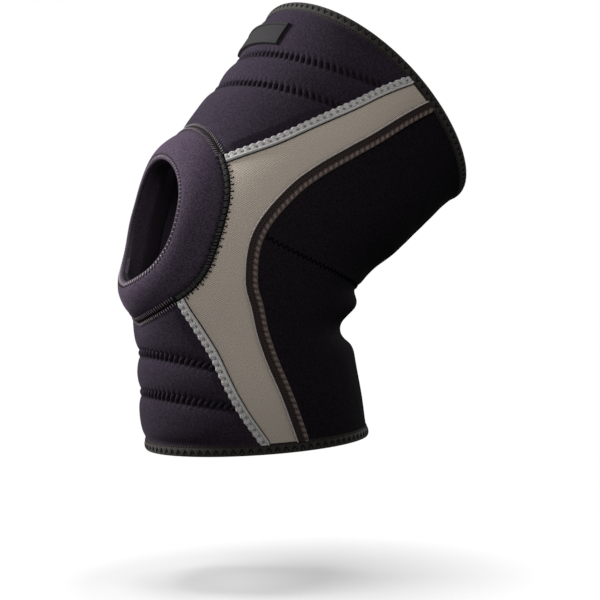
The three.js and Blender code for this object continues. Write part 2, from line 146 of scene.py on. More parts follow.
SHIN_LENGTH = 110
THIGH_LENGTH = 99.5
KNEE_BEND = math.radians(44)
KNEE_DEPTH = 124
KNEE_WIDTH = 112
FRONT_WALL = 4.0
SIDE_WALL = 3.0
BACK_WALL = 3.0
FOLD_DEPTH = 5.0
HALF_GAP = 0.15
LAY_GAP = 0.3
HEM_WIDTH = 4.8
EDGE = HEM_WIDTH + 0.3
TAPE_WIDTH = 4.6
REAR_TAPE_WIDTH = 6.4

SHIN_SECTIONS = (
    Section(1.0, 0.061, -0.08, 0.955, 1.02),
    Section(0.78, 0.036, -0.02, 0.945, 1.02),
    Section(0.58, 0.015, 0.0, 0.92, 0.98),
    Section(0.459, -0.01, 0.05, 0.905, 0.96),
    Section(0.341, -0.006, 0.04, 0.97, 0.97),
    Section(0.226, -0.002, 0.12, 0.995, 1.0),
)
THIGH_SECTIONS = (
    Section(0.0, 0.058, 0.32, 1.06, 1.05, full=0.05),
    Section(0.245, 0.041, 0.47, 1.105, 1.1, 0.01, 0.08),
    Section(0.52, 0.033, 0.67, 1.09, 1.14, 0.02, 0.1),
    Section(0.816, 0.026, 0.85, 1.107, 1.16, 0.02, 0.12),
    Section(1.04, 0.016, 1.01, 1.157, 1.18, 0.02, 0.12),
)
TOP = len(SHIN_SECTIONS) + len(THIGH_SECTIONS) - 1
FOLDS = (
    Fold(5.05, 0.3, 46, -0.45),
    Fold(4.25, 0.45, 42, 0.3),
    Fold(3.25, 0.5, 52, -1.0),
    Fold(2.3, 0.5, 40, 0.2),
)
HOLE = Egg(5.85, 1.1, 1.13, 33.5, 0.7)
RING = Egg(5.85, 1.73, 2.64, 55, 0.8)
UPPER_MEET = 46.0
LOWER_MEET = -37.5
UPPER_POINTS = ((52, 7.58), (61, 8.08), (69.5, 8.62), (75, 9.1), (82, 9.76), (84.5, 10))
LOWER_POINTS = ((75.5, 0), (72.5, 0.22), (63, 0.9), (55.5, 1.66), (48, 2.76))
REAR_POINTS = (
    (93, 0), (86.5, 1.12), (81, 2), (79.5, 2.98), (77, 3.94), (73.5, 4.96), (72, 5.8),
    (73.5, 6.84), (77, 7.4), (83, 8), (88.5, 8.58), (97, 9.8), (98.5, 10),
)
THIGH_QUILTS = (Quilt(8.37, 0.12, 2), Quilt(8.9, 0.17, 3))
SHIN_QUILTS = (Quilt(1.16, -0.22, 2), Quilt(2.1, -0.4, 2))
KNEE_SEAM_BACK = 5.05
KNEE_SEAM_SIDE = 5.97
KNEE_SEAM_BOW = 1.3
KNEE_STITCH_START = 0.6
KNEE_STITCH_PITCH = 1.5
KNEE_STITCH_REACH = 1.35


def mix(a: Array | float, b: Array | float, share: Array | float) -> Array:
    """A value part of the way from a to b."""
    return a + (b - a) * share


def smooth(value: Array, low: float, high: float) -> Array:
    """Rises smoothly from 0 at low to 1 at high."""
    share = np.clip((value - low) / (high - low), 0, 1)
    return share * share * (3 - 2 * share)


def unit(vectors: Array) -> Array:
    """Rows of vectors brought to a length of one."""
    return vectors / np.maximum(np.linalg.norm(vectors, axis=-1, keepdims=True), 1e-9)


def hump(value: Array, width: float, power: float = 2.0) -> Array:
    """A smooth hump: 1 where the value is 0, fading out past the width."""
    return np.exp(-(np.abs(value / width) ** power))


def crests(turns: Array) -> Array:
    """A wave from 0 to 1 that peaks at whole turns."""
    return (1 + np.cos(2 * math.pi * turns)) / 2


def travelled(points: Array) -> Array:
    """How far along a row of points each one lies."""
    steps = np.linalg.norm(np.diff(points, axis=0), axis=1)
    return np.concatenate(([0.0], np.cumsum(steps)))


def linked(name: str, data: bpy.types.ID) -> bpy.types.Object:
    """A new object in the scene."""
    made = bpy.data.objects.new(name, data)
    bpy.context.scene.collection.objects.link(made)
    return made


class SleeveForm:
    """The sleeve's nominal outer surface, by degrees round from the front and by station up the leg."""

    def __init__(self) -> None:
        """Works out the plane of every section, with one beyond each end."""
        rows = [self._row(section, Limb.SHIN) for section in SHIN_SECTIONS]
        rows += [self._row(section, Limb.THIGH) for section in THIGH_SECTIONS]
        table = np.array(rows)
        self.knots = np.vstack((2 * table[0] - table[1], table, 2 * table[-1] - table[-2]))

    @staticmethod
    def _row(section: Section, limb: Limb) -> list[float]:
        """The front and back ends of a section, its half width, the rise of its sides and its fullness."""
        bend = KNEE_BEND if limb is Limb.THIGH else 0.0
        length = THIGH_LENGTH if limb is Limb.THIGH else -SHIN_LENGTH
        back = section.set_back * KNEE_DEPTH
        y = math.sin(bend) * section.along * length + math.cos(bend) * back
        z = math.cos(bend) * section.along * length - math.sin(bend) * back
        tilt = section.turn * KNEE_BEND
        half = section.depth * KNEE_DEPTH / 2
        rise = section.rise * KNEE_DEPTH
        return [
            y - math.cos(tilt) * half, z + math.sin(tilt) * half,
            y + math.cos(tilt) * half, z - math.sin(tilt) * half,
            section.width * KNEE_WIDTH / 2,
            math.sin(tilt) * rise, math.cos(tilt) * rise, section.full,
        ]

    def section(self, station: Array) -> Array:
        """Reads the sections on a smooth curve through the table's rows."""
        at = np.clip(station, 0, TOP)
        first = np.minimum(at.astype(int), TOP - 1)
        t = (at - first)[:, None]
        a, b, c, d = (self.knots[first + k] for k in range(4))
        bowed = 2 * a - 5 * b + 4 * c - d
        turned = 3 * b - a - 3 * c + d
        return b + ((c - a) * t + bowed * t**2 + turned * t**3) / 2

    def point(self, places: Array) -> Array:
        """Places on the surface as points in millimetres."""
        front_y, front_z, back_y, back_z, half, rise_y, rise_z, full = self.section(places[:, 1]).T
        turn = np.radians(places[:, 0])
        share = (1 - np.cos(turn)) / 2
        sides = np.sin(turn) ** 2
        return np.column_stack((
            half * np.sin(turn + full * np.sin(turn)),
            mix(front_y, back_y, share) + rise_y * sides,
            mix(front_z, back_z, share) + rise_z * sides,
        ))

    def frame(self, places: Array) -> tuple[Array, Array, Array]:
        """Directions on the surface: per degree round, per station up, and straight out."""
        angle, at = places[:, 0], np.clip(places[:, 1], END_MARGIN, TOP - END_MARGIN)
        here = lambda turn, lift: self.point(np.column_stack((angle + turn, at + lift)))
        around = here(0.5, 0) - here(-0.5, 0)
        up = (here(0, END_MARGIN) - here(0, -END_MARGIN)) / (2 * END_MARGIN)
        return around, up, unit(np.cross(around, up))

    def fold(self, places: Array) -> Array:
        """How far the cloth is pushed out or drawn in by the folds behind the knee."""
        from_back = 180 - np.abs(places[:, 0])
        height = np.zeros(len(places))
        for fold in FOLDS:
            height += (
                fold.depth * FOLD_DEPTH * hump(places[:, 1] - fold.station, fold.reach) * hump(from_back, fold.spread)
            )
        return height

    def raised(self, places: Array, height: Array | float) -> Array:
        """Places lifted off the surface, as points in millimetres."""
        level = height + self.fold(places)
        return self.point(places) + self.frame(places)[2] * np.reshape(level, (-1, 1))

    def moved(self, places: Array, step: Array) -> Array:
        """Places moved over the surface by a short step in millimetres."""
        around, up, _ = self.frame(places)
        e, f, g = (np.sum(p * q, axis=1) for p, q in ((around, around), (around, up), (up, up)))
        a, b = np.sum(step * around, axis=1), np.sum(step * up, axis=1)
        area = e * g - f * f
        return places + np.column_stack(((a * g - b * f) / area, (b * e - a * f) / area))

    def beside(self, curve: Curve, shares: Array, distance: Array | float) -> Array:
        """Places beside a curve.

        Args:
            curve: Gives places for shares of its length.
            shares: Where along the curve.
            distance: Millimetres to the rear of a curve that runs up the near side.

        Returns:
            One [angle, station] row for each share.
        """
        step = curve(np.minimum(shares + NEARBY, 1)) - curve(np.maximum(shares - NEARBY, 0))
        return self.stepped_aside(curve(shares), step, distance)

    def beside_egg(self, egg: Egg, degrees: Array, distance: Array | float) -> Array:
        """Places beside an egg's line, with positive distances outside it."""
        step = egg.at(degrees + EGG_STEP) - egg.at(degrees - EGG_STEP)
        return self.stepped_aside(egg.at(degrees), step, distance)

    def stepped_aside(self, places: Array, step: Array, distance: Array | float) -> Array:
        """Places moved to the side of a step that leads along a line."""
        around, up, out = self.frame(places)
        side = unit(np.cross(around * step[:, :1] + up * step[:, 1:], out))
        return self.moved(places, side * np.reshape(distance, (-1, 1)))

    def apart(self, places: Array, others: Array) -> Array:
        """How far apart pairs of places are, in millimetres."""
        return np.linalg.norm(self.point(places) - self.point(others), axis=1)

    def hem_station(self, angle: Array, end: End, inward: Array | float) -> Array:
        """The station that lies so many millimetres in from one end of the sleeve."""
        level = TOP if end is End.UPPER else 0
        up = self.frame(np.column_stack((angle, np.full(len(angle), float(level)))))[1]
        rate = np.linalg.norm(up, axis=1)
        return TOP - inward / rate if end is End.UPPER else inward / rate

    def seam(self, points: tuple[tuple[float, float], ...]) -> Curve:
        """A smooth seam up the near side, cut off where it meets the hems."""
        table = np.array(points, float)
        last = len(table) - 1

        def read(share: Array) -> Array:
            """Places at shares of the uncut seam."""
            at = np.clip(share, 0, 1) * last
            i = np.minimum(at.astype(int), last)
            t = (at - i)[:, None]
            a, b = table[np.maximum(i - 1, 0)], table[i]
            c, d = table[np.minimum(i + 1, last)], table[np.minimum(i + 2, last)]
            return b + ((c - a) * t + (2 * a - 5 * b + 4 * c - d) * t**2 + (3 * b - a - 3 * c + d) * t**3) / 2

        shares = np.linspace(0, 1, 2001)
        places = read(shares)
        inside = (places[:, 1] >= self.hem_station(places[:, 0], End.LOWER, EDGE)) & (
            places[:, 1] <= self.hem_station(places[:, 0], End.UPPER, EDGE)
        )
        first, final = shares[inside][0], shares[inside][-1]
        return lambda share: read(mix(first, final, np.asarray(share, float)))


FORM = SleeveForm()
UPPER_SEAM = FORM.seam((tuple(RING.at(np.array([UPPER_MEET]))[0]), *UPPER_POINTS))
LOWER_SEAM = FORM.seam((*LOWER_POINTS, tuple(RING.at(np.array([LOWER_MEET]))[0])))
REAR_SEAM = FORM.seam(REAR_POINTS)


def crossing(test: Callable[[Array], Array]) -> float:
    """The share from 0 to 1 at which a value changes sign."""
    shares = np.linspace(0, 1, 4001)
    values = test(shares)
    k = int(np.argmax(values[:-1] * values[1:] <= 0))
    return float(shares[k] + (shares[k + 1] - shares[k]) * values[k] / (values[k] - values[k + 1]))


def knee_station(angle: Array) -> Array:
    """The station of the seam behind the knee at each angle."""
    side = REAR_SEAM(np.array([0.5]))[0, 0]
    share = (180 - np.abs(angle)) / (180 - side)
    return mix(KNEE_SEAM_BACK, KNEE_SEAM_SIDE, share**KNEE_SEAM_BOW)


def wander(points: Array, size: float, seed: int) -> Array:
    """A smooth uneven value from -1 to 1 over space, made of a few waves.

    Args:
        points: Points in millimetres.
        size: The usual length of a wave in millimetres.
        seed: Picks the waves.

    Returns:
        One value for each point.
    """
    picked = np.random.default_rng(seed)
    total = np.zeros(len(points))
    for _ in range(6):
        way = unit(picked.normal(size=(1, 3)))[0] * (2 * math.pi / (size * picked.uniform(0.7, 1.5)))
        total += np.sin(points @ way + picked.uniform(0, 2 * math.pi))
    return total / 6


@dataclass
class Cloth:
    """What a piece's place function gives: points and a chart in millimetres, and how far each point's color is
    darkened: painted shade, and on a rear tape also its strip's own darker tone.
    """

    points: Array
    chart: Array
    shade: Array

    @classmethod
    def wall(
        cls, places: Array, inner: Array, level: Array, back: Array | float,
        chart: tuple[Array, Array], shade: Array | float = 0.0,
    ) -> Cloth:
        """Lifts the two faces of a wall.

        Args:
            places: Places on the sleeve's surface.
            inner: 1 on the inner face, which gets no painted shade, and 0 on the outer one.
            level: The outer face's height in millimetres.
            back: The inner face's height.
            chart: How far across and along its chart each point lies.
            shade: How far the outer face's color is darkened by painted shade.

        Returns:
            The wall's cloth.
        """
        inside = inner > 0.5
        height = np.where(inside, back, level)
        return cls(FORM.raised(places, height), np.column_stack(chart), np.where(inside, 0.0, shade))


@dataclass(frozen=True)
class Profile:
    """The closed section of a wall: shares across its outer face, then back across its inner face."""

    shares: Array
    inner: Array

    @classmethod
    def of(cls, outer: Array, inner: Array) -> Profile:
        """Joins the shares of an outer and an inner face into one loop."""
        shares = np.concatenate((outer, inner[::-1], outer[:1]))
        faces = np.concatenate((np.zeros(len(outer)), np.ones(len(inner)), [0.0]))
        return cls(shares, faces)


PlaceCloth = Callable[[Array, Array, Array], Cloth]


def values_of(items: bpy.types.bpy_prop_collection, name: str, kind: type = float, width: int = 1) -> Array:
    """Reads one property of every item, as so many numbers each."""
    values = np.empty(len(items) * width, kind)
    items.foreach_get(name, values)
    return values


def woven(name: str, profile: Profile, rows: Array, place: PlaceCloth, sharp: float = 50) -> bpy.types.Object:
    """Makes a closed wall of cloth by moving the points of a flat grid.

    Args:
        name: The piece's name.
        profile: The wall's section.
        rows: Shares along the wall's length. A wall that closes on itself ends where it starts.
        place: Gives the cloth for shares across, faces (1 inside) and shares along.
        sharp: The angle in degrees past which an edge is drawn sharp.

    Returns:
        The new object.
    """
    columns, count = len(profile.shares) - 1, len(rows) - 1
    sheet = bmesh.new()
    bmesh.ops.create_grid(sheet, x_segments=columns, y_segments=count, size=1)
    mesh = bpy.data.meshes.new(name)
    sheet.to_mesh(mesh)
    flat = values_of(mesh.vertices, "co", width=3).reshape(-1, 3)
    across = np.rint((flat[:, 0] + 1) / 2 * columns).astype(int)
    along = np.rint((flat[:, 1] + 1) / 2 * count).astype(int)
    cloth = place(profile.shares[across], profile.inner[across], rows[along])
    mesh.vertices.foreach_set("co", (cloth.points * MM).ravel())
    corners = values_of(mesh.loops, "vertex_index", int)
    mesh.uv_layers.new(name="cloth").uv.foreach_set("vector", (cloth.chart[corners] * MM).ravel())
    # The shade attribute carries painted shade to the material, and on the rear tapes also their strips' own darker
    # tone.
    mesh.attributes.new("shade", "FLOAT", "POINT").data.foreach_set("value", cloth.shade)
    mesh.attributes.new("inside", "FLOAT", "POINT").data.foreach_set("value", profile.inner[across])
    sheet.clear()
    sheet.from_mesh(mesh)
    bmesh.ops.remove_doubles(sheet, verts=sheet.verts, dist=1e-6)
    bmesh.ops.holes_fill(sheet, edges=[edge for edge in sheet.edges if edge.is_boundary], sides=0)
    bmesh.ops.recalc_face_normals(sheet, faces=sheet.faces)
    sheet.to_mesh(mesh)
    sheet.free()
    mesh.shade_smooth()
    mesh.set_sharp_from_angle(angle=math.radians(sharp))
    line_inner_faces(mesh)
    return linked(name, mesh)


def line_inner_faces(mesh: bpy.types.Mesh) -> None:
    """Gives the inner faces and the cut edges of a wall of cloth the second material slot."""
    inside = values_of(mesh.attributes["inside"].data, "value")
    corners = values_of(mesh.loops, "vertex_index", int)
    starts = values_of(mesh.polygons, "loop_start", int)
    lined = np.maximum.reduceat(inside[corners], starts) > 0.5
    for _ in range(2):
        mesh.materials.append(None)
    mesh.polygons.foreach_set("material_index", lined.astype(int))
    mesh.attributes.remove(mesh.attributes["inside"])


class Stitching:
    """A run of short stitches, each a slim grain of thread laid from one point to another."""

    def __init__(self, name: str, sides: int = 6, rings: int = 4) -> None:
        """Starts an empty run.

        Args:
            name: The piece's name.
            sides: Faces round a thread.
            rings: Rings of faces along a thread.
        """
        self.name, self.sides, self.rings = name, sides, rings
        self.threads = bmesh.new()

    def lay(self, starts: Array, ends: Array, outs: Array, radius: float, flat: float = 1.0) -> None:
        """Lays a thread from each start to its end.

        Args:
            starts: First points in millimetres.
            ends: Last points in millimetres.
            outs: The surface's outward direction at each thread.
            radius: The thread's radius in millimetres.
            flat: Its height as a share of its width.
        """
        along = ends - starts
        side = unit(np.cross(along, outs)) * radius
        rise = unit(np.cross(side, along)) * radius * flat
        middle = (starts + ends) / 2
        batch = bmesh.new()
        for columns in zip(side, rise, along / 2, middle):
            place = Matrix.Identity(4)
            for k, column in enumerate(columns):
                place.col[k][:3] = [float(value) * MM for value in column]
            bmesh.ops.create_uvsphere(
                batch, u_segments=self.sides, v_segments=self.rings, radius=1, matrix=place
            )
        mesh = bpy.data.meshes.new("threads")
        batch.to_mesh(mesh)
        batch.free()
        self.threads.from_mesh(mesh)
        bpy.data.meshes.remove(mesh)

    def dressed(self, finish: Finish, slot: str) -> None:
        """Ends the run as one object with its material."""
        bmesh.ops.recalc_face_normals(self.threads, faces=self.threads.faces)
        mesh = bpy.data.meshes.new(self.name)
        self.threads.to_mesh(mesh)
        self.threads.free()
        mesh.shade_smooth()
        dress(linked(self.name, mesh), finish, slot)


class Shader:
    """A material's or group's node tree, with short ways to add and join nodes."""

    def __init__(self, tree: bpy.types.NodeTree) -> None:
        """Keeps the tree that nodes are added to."""
        self.tree = tree

    def node(self, kind: str, **settings: object) -> bpy.types.Node:
        """Adds a node and sets its properties."""
        made = self.tree.nodes.new(kind)
        for name, value in settings.items():
            setattr(made, name, value)
        return made

    def join(self, source: bpy.types.NodeSocket, target: bpy.types.NodeSocket) -> None:
        """Joins an output to an input."""
        self.tree.links.new(source, target)

    def feed(self, target: bpy.types.NodeSocket, value: object) -> None:
        """Joins a socket to an input, or sets the input where the value is plain."""
        if isinstance(value, bpy.types.NodeSocket):
            self.join(value, target)
        else:
            target.default_value = value

    def fill(self, node: bpy.types.Node, values: dict[str | int, object]) -> bpy.types.Node:
        """Joins or sets a node's inputs by name or number."""
        for label, value in values.items():
            self.feed(node.inputs[label], value)
        return node

    def math(self, operation: str, first: object, second: object = 0.0, clamp: bool = False) -> bpy.types.NodeSocket:
        """One step of arithmetic on sockets or numbers."""
        step = self.node("ShaderNodeMath", operation=operation, use_clamp=clamp)
        return self.fill(step, {0: first, 1: second}).outputs[0]

    def times(self, first: object, second: object) -> bpy.types.NodeSocket:
        """The product of two sockets or numbers."""
        return self.math("MULTIPLY", first, second)

    def plus(self, first: object, second: object, clamp: bool = False) -> bpy.types.NodeSocket:
        """The sum of two sockets or numbers."""
        return self.math("ADD", first, second, clamp)

    def noise(self, vector: bpy.types.NodeSocket, scale: object, detail: float = 2.0) -> bpy.types.NodeSocket:
        """A noise value over a vector."""
        made = self.node("ShaderNodeTexNoise")
        return self.fill(made, {"Vector": vector, "Scale": scale, "Detail": detail}).outputs["Fac"]

    def blend(self, share: object, first: object, second: object) -> bpy.types.NodeSocket:
        """A color between two others."""
        made = self.node("ShaderNodeMix", data_type="RGBA")
        return self.fill(made, {"Factor": share, "A": first, "B": second}).outputs["Result"]

    def place(self) -> bpy.types.NodeSocket:
        """Where a point lies on its object."""
        return self.node("ShaderNodeTexCoord").outputs["Object"]

    def chart(self) -> tuple[bpy.types.NodeSocket, bpy.types.NodeSocket, bpy.types.NodeSocket]:
        """Where a point lies on its piece's own chart, whole and by its two parts."""
        whole = self.node("ShaderNodeUVMap", uv_map="cloth").outputs["UV"]
        split = self.fill(self.node("ShaderNodeSeparateXYZ"), {0: whole})
        return whole, split.outputs["X"], split.outputs["Y"]


def painted(name: str) -> tuple[bpy.types.Material, Shader, bpy.types.Node]:
    """A new material, with its tree and its Principled node."""
    material = bpy.data.materials.new(name)
    material.use_nodes = True
    return material, Shader(material.node_tree), material.node_tree.nodes["Principled BSDF"]


def effect(name: str, inputs: dict[str, float], build: Callable[[Shader, dict], dict]) -> bpy.types.NodeTree:
    """Makes a shared node group.

    Args:
        name: The group's name.
        inputs: The numbers it takes, with their usual values.
        build: Adds the nodes, and gives the sockets of the outputs by name.

    Returns:
        The group.
    """
    tree = bpy.data.node_groups.new(name, "ShaderNodeTree")
    for label, value in inputs.items():
        tree.interface.new_socket(label, in_out="INPUT", socket_type="NodeSocketFloat").default_value = value
    shader = Shader(tree)
    entry = shader.node("NodeGroupInput")
    given = build(shader, {label: entry.outputs[label] for label in inputs})
    for label in given:
        tree.interface.new_socket(label, in_out="OUTPUT", socket_type="NodeSocketFloat")
    leave = shader.node("NodeGroupOutput")
    for label, socket in given.items():
        shader.join(socket, leave.inputs[label])
    return tree


def nap(shader: Shader, given: dict) -> dict:
    """The short uneven nap of knit over neoprene: speckles, and broad patches where it lies flat."""
    place = shader.place()
    fine, broad = shader.noise(place, given["Fineness"], detail=2.0), shader.noise(place, 22.0, detail=3.0)
    sharp = shader.node("ShaderNodeMapRange", clamp=True)
    shader.fill(sharp, {"Value": fine, "From Min": 0.32, "From Max": 0.68})
    both = shader.plus(shader.times(sharp.outputs[0], 0.72), shader.times(broad, 0.28))
    return {"Mask": both, "Height": fine}


def twill(shader: Shader, given: dict) -> dict:
    """A twill's slanted ribs, crossed by finer yarns, over a piece's own chart."""
    chart, across, along = shader.chart()
    slant = shader.math("SUBTRACT", along, shader.times(across, given["Lean"]))
    turns = shader.times(slant, shader.math("DIVIDE", 2 * math.pi, given["Pitch"]))
    ribs = shader.math("SINE", shader.plus(turns, shader.times(shader.noise(chart, 160.0, detail=2.0), 2.5)))
    back = shader.plus(along, shader.times(across, 1.7))
    yarns = shader.math("SINE", shader.times(back, shader.math("DIVIDE", 4.2 * math.pi, given["Pitch"])))
    height = shader.plus(shader.plus(shader.times(ribs, 0.32), shader.times(yarns, 0.13)), 0.5)
    worn = shader.times(shader.math("SUBTRACT", shader.noise(chart, 1400.0, detail=4.0), 0.5), 1.1)
    return {"Mask": shader.plus(height, worn, clamp=True), "Height": height}


def knit(shader: Shader, given: dict) -> dict:
    """Fine ribs across a tape, broken up into loops, over the tape's own chart."""
    chart, across, along = shader.chart()
    rate = shader.math("DIVIDE", 2 * math.pi, given["Pitch"])
    ribs, wales = (shader.math("SINE", shader.times(way, rate)) for way in (along, across))
    loops = shader.plus(shader.times(ribs, 0.16), shader.times(wales, 0.1))
    rough = shader.times(shader.math("SUBTRACT", shader.noise(chart, 1500.0, detail=4.0), 0.5), 1.5)
    height = shader.plus(shader.plus(loops, 0.5), rough, clamp=True)
    return {"Mask": height, "Height": height}


def grain(shader: Shader, given: dict) -> dict:
    """The dull moulded grain of rubber, and the uneven fibres of thread."""
    fibres = shader.noise(shader.place(), given["Fineness"], detail=3.0)
    return {"Mask": fibres, "Height": fibres}


class Surface(Enum):
    """The kinds of surface that the sleeve's materials have."""

    NAP = "nap"
    TWILL = "twill"
    KNIT = "knit"
    GRAIN = "grain"


EFFECTS = {
    Surface.NAP: effect("nap", {"Fineness": 1200.0}, nap),
    Surface.TWILL: effect("twill", {"Pitch": 0.00108, "Lean": 0.72}, twill),
    Surface.KNIT: effect("knit", {"Pitch": 0.00055}, knit),
    Surface.GRAIN: effect("grain", {"Fineness": 2600.0}, grain),
}


@dataclass(frozen=True)
class Finish:
    """A material: its surface, its colors in the hollows and on the threads, the deep color that painted shade darkens
    it to, and its feel.
    """

    name: str
    surface: Surface
    low: Color
    high: Color
    deep: Color = (0.002, 0.002, 0.002)
    roughness: float = 0.85
    specular: float = 0.25
    sheen: float = 0.0
    sheen_tint: Color = (1.0, 1.0, 1.0)
    relief: float = 0.0001
    settings: dict = field(default_factory=dict)

    @property
    def full_name(self) -> str:
        """The material's name, apart from the solids' own materials."""
        return f"{self.name}_finish"

    def shared(self) -> bpy.types.Material:
        """The material, built when it is first asked for."""
        return bpy.data.materials.get(self.full_name) or self.made()

    def made(self) -> bpy.types.Material:
        """Builds the material."""
        material, shader, cloth = painted(self.full_name)
        weave = shader.fill(shader.node("ShaderNodeGroup", node_tree=EFFECTS[self.surface]), self.settings)
        color = shader.blend(weave.outputs["Mask"], (*self.low, 1), (*self.high, 1))
        # Painted shade: the shade attribute darkens the color towards the deep color.
        shade = shader.node("ShaderNodeAttribute", attribute_name="shade").outputs["Fac"]
        bump = shader.node("ShaderNodeBump")
        shader.fill(bump, {"Strength": 0.7, "Distance": self.relief, "Height": weave.outputs["Height"]})
        shader.fill(cloth, {
            "Base Color": shader.blend(shade, color, (*self.deep, 1)),
            "Roughness": self.roughness,
            "Specular IOR Level": self.specular,
            "Sheen Weight": self.sheen,
            "Sheen Roughness": 0.45,
            "Sheen Tint": (*self.sheen_tint, 1),
            "Normal": bump.outputs["Normal"],
        })
        return material


FRONT_NEOPRENE = Finish(
    "front_neoprene", Surface.NAP, (0.009, 0.0068, 0.0108), (0.041, 0.0308, 0.047),
    deep=(0.0016, 0.0013, 0.002), roughness=0.95, specular=0.06, sheen=0.05, sheen_tint=(0.66, 0.5, 0.74),
)
RING_NEOPRENE = Finish(
    "ring_neoprene", Surface.NAP, (0.02, 0.0148, 0.023), (0.081, 0.06, 0.0895),
    deep=(0.0016, 0.0013, 0.002), roughness=0.95, specular=0.06, sheen=0.06, sheen_tint=(0.72, 0.53, 0.76),
)
BACK_NEOPRENE = Finish(
    "back_neoprene", Surface.NAP, (0.0045, 0.0036, 0.0046), (0.0185, 0.0152, 0.019),
    roughness=0.95, specular=0.03, relief=0.00008,
)
LINING = Finish(
    "lining", Surface.NAP, (0.014, 0.0108, 0.0152), (0.06, 0.047, 0.065),
    roughness=0.95, specular=0.05, relief=0.00008, settings={"Fineness": 1700.0},
)
SIDE_TWILL = Finish(
    "side_twill", Surface.TWILL, (0.36, 0.305, 0.25), (0.66, 0.58, 0.495),
    deep=(0.02, 0.017, 0.014), roughness=0.8, specular=0.3, sheen=0.03, sheen_tint=(0.95, 0.9, 0.82),
    relief=0.00014,
)
LIGHT_TAPE = Finish(
    "light_tape", Surface.KNIT, (0.36, 0.355, 0.345), (0.74, 0.73, 0.71),
    deep=(0.035, 0.034, 0.033), roughness=0.75, specular=0.3, sheen=0.1,
    relief=0.00016,
)
# The deep color gives both the strip's own dark brown and the painted shade between the ridge's bumps.
DARK_TAPE = Finish(
    "dark_tape", Surface.KNIT, (0.095, 0.068, 0.061), (0.29, 0.222, 0.2),
    deep=(0.02, 0.0115, 0.01), roughness=0.8, specular=0.25, sheen=0.1, sheen_tint=(0.9, 0.8, 0.78),
    relief=0.00016,
)
HEM_TAPE = Finish(
    "hem_tape", Surface.KNIT, (0.013, 0.012, 0.0108), (0.058, 0.053, 0.047),
    deep=(0.003, 0.003, 0.003), specular=0.2, sheen=0.12, relief=0.00014,
)
LABEL_RUBBER = Finish(
    "label_rubber", Surface.GRAIN, (0.017, 0.0158, 0.017), (0.026, 0.0243, 0.026),
    deep=(0.001, 0.001, 0.001), roughness=0.75, specular=0.1, relief=0.00003, settings={"Fineness": 1800.0},
)
BLACK_THREAD = Finish(
    "black_thread", Surface.GRAIN, (0.003, 0.0028, 0.0032), (0.012, 0.011, 0.0125),
    roughness=0.8, specular=0.1, relief=0.00006,
)
SEAM_THREAD = Finish(
    "seam_thread", Surface.GRAIN, (0.0003, 0.0003, 0.0003), (0.0012, 0.0011, 0.0012),
    roughness=0.9, specular=0.02, relief=0.00006,
)
GREY_THREAD = Finish(
    "grey_thread", Surface.GRAIN, (0.005, 0.0047, 0.005), (0.065, 0.061, 0.062),
    roughness=0.65, specular=0.35, relief=0.00008,
)
ROSE_THREAD = Finish(
    "rose_thread", Surface.GRAIN, (0.08, 0.062, 0.074), (0.3, 0.24, 0.275),
    roughness=0.65, specular=0.35, relief=0.00008,
)
PALE_THREAD = Finish(
    "pale_thread", Surface.GRAIN, (0.42, 0.415, 0.405), (0.7, 0.69, 0.67),
    roughness=0.6, specular=0.35, relief=0.00006,
)
PIPING = Finish(
    "piping", Surface.GRAIN, (0.36, 0.33, 0.31), (0.6, 0.56, 0.53),
    roughness=0.65, specular=0.35, relief=0.00004, settings={"Fineness": 2200.0},
)


def dress(piece: bpy.types.Object, finish: Finish, slot: str, *replaced: str) -> None:
    """Gives a piece its material and its place in the part.

    Args:
        piece: The piece.
        finish: Its material.
        slot: The record's material slot; not used.
        replaced: The solids that it stands for.
    """
    if len(piece.data.materials) == 2:
        piece.data.materials[0], piece.data.materials[1] = finish.shared(), LINING.shared()
    else:
        piece.data.materials.append(finish.shared())
    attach(piece, "root")
    if replaced:
        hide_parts(*replaced)
    LOG.info("%s: %d faces", piece.name, len(piece.data.polygons))


CORD_SIDES = 8
SHEET_STEPS = 81
QUILT_RISE = 2.0
QUILT_SOFTNESS = 3.6
SEAM_HALF = 1.6


def puff(distance: Array) -> Array:
    """How far quilted cloth stands up at a distance from the nearest seam, in millimetres."""
    return QUILT_RISE * (1 - hump(np.maximum(distance - SEAM_HALF, 0), QUILT_SOFTNESS, 1.3))


def spaced(length: float, marks: list[float], fine: float, coarse: float, reach: float) -> Array:
    """Shares of a length, laid closer together near its marks.

    Args:
        length: The length in millimetres.
        marks: Shares of the length that want close rows.
        fine: The rows' spacing at a mark.
        coarse: Their spacing elsewhere.
        reach: How far from a mark the rows stay close.

    Returns:
        Shares from 0 to 1.
    """
    along = np.linspace(0, length, 4001)
    away = np.min([np.abs(along - mark * length) for mark in marks], axis=0)
    rate = 1 / mix(fine, coarse, smooth(away, reach, 2 * reach))
    count = np.concatenate(([0.0], np.cumsum((rate[1:] + rate[:-1]) / 2 * np.diff(along))))
    wanted = np.linspace(0, count[-1], max(int(round(count[-1])), 4) + 1)
    return np.interp(wanted, count, along) / length


def curve_length(curve: Curve) -> float:
    """A curve's length over the surface in millimetres."""
    return float(travelled(FORM.point(curve(np.linspace(0, 1, 200))))[-1])


def evenly(curve: Curve, pitch: float, first: float = 0.0, last: float = 1.0) -> Array:
    """Shares of a curve that lie an even distance apart over the surface."""
    shares = np.linspace(first, last, 1200)
    along = travelled(FORM.point(curve(shares)))
    return np.interp(np.linspace(0, along[-1], max(int(round(along[-1] / pitch)), 2) + 1), along, shares)


def stretched(surface: Callable[[Array, Array], Array], first: float = 0.0) -> None:
    """Works out a panel's points on a grid of shares across and along it, and does nothing more with them.

    Args:
        surface: Gives the panel's places for shares across and along it.
        first: The least share across.
    """
    across, along = np.meshgrid(
        np.linspace(first, 1, SHEET_STEPS), np.linspace(0, 1, SHEET_STEPS), indexing="ij"
    )
    points = FORM.point(surface(across.ravel(), along.ravel())).reshape(*across.shape, 3) * MM


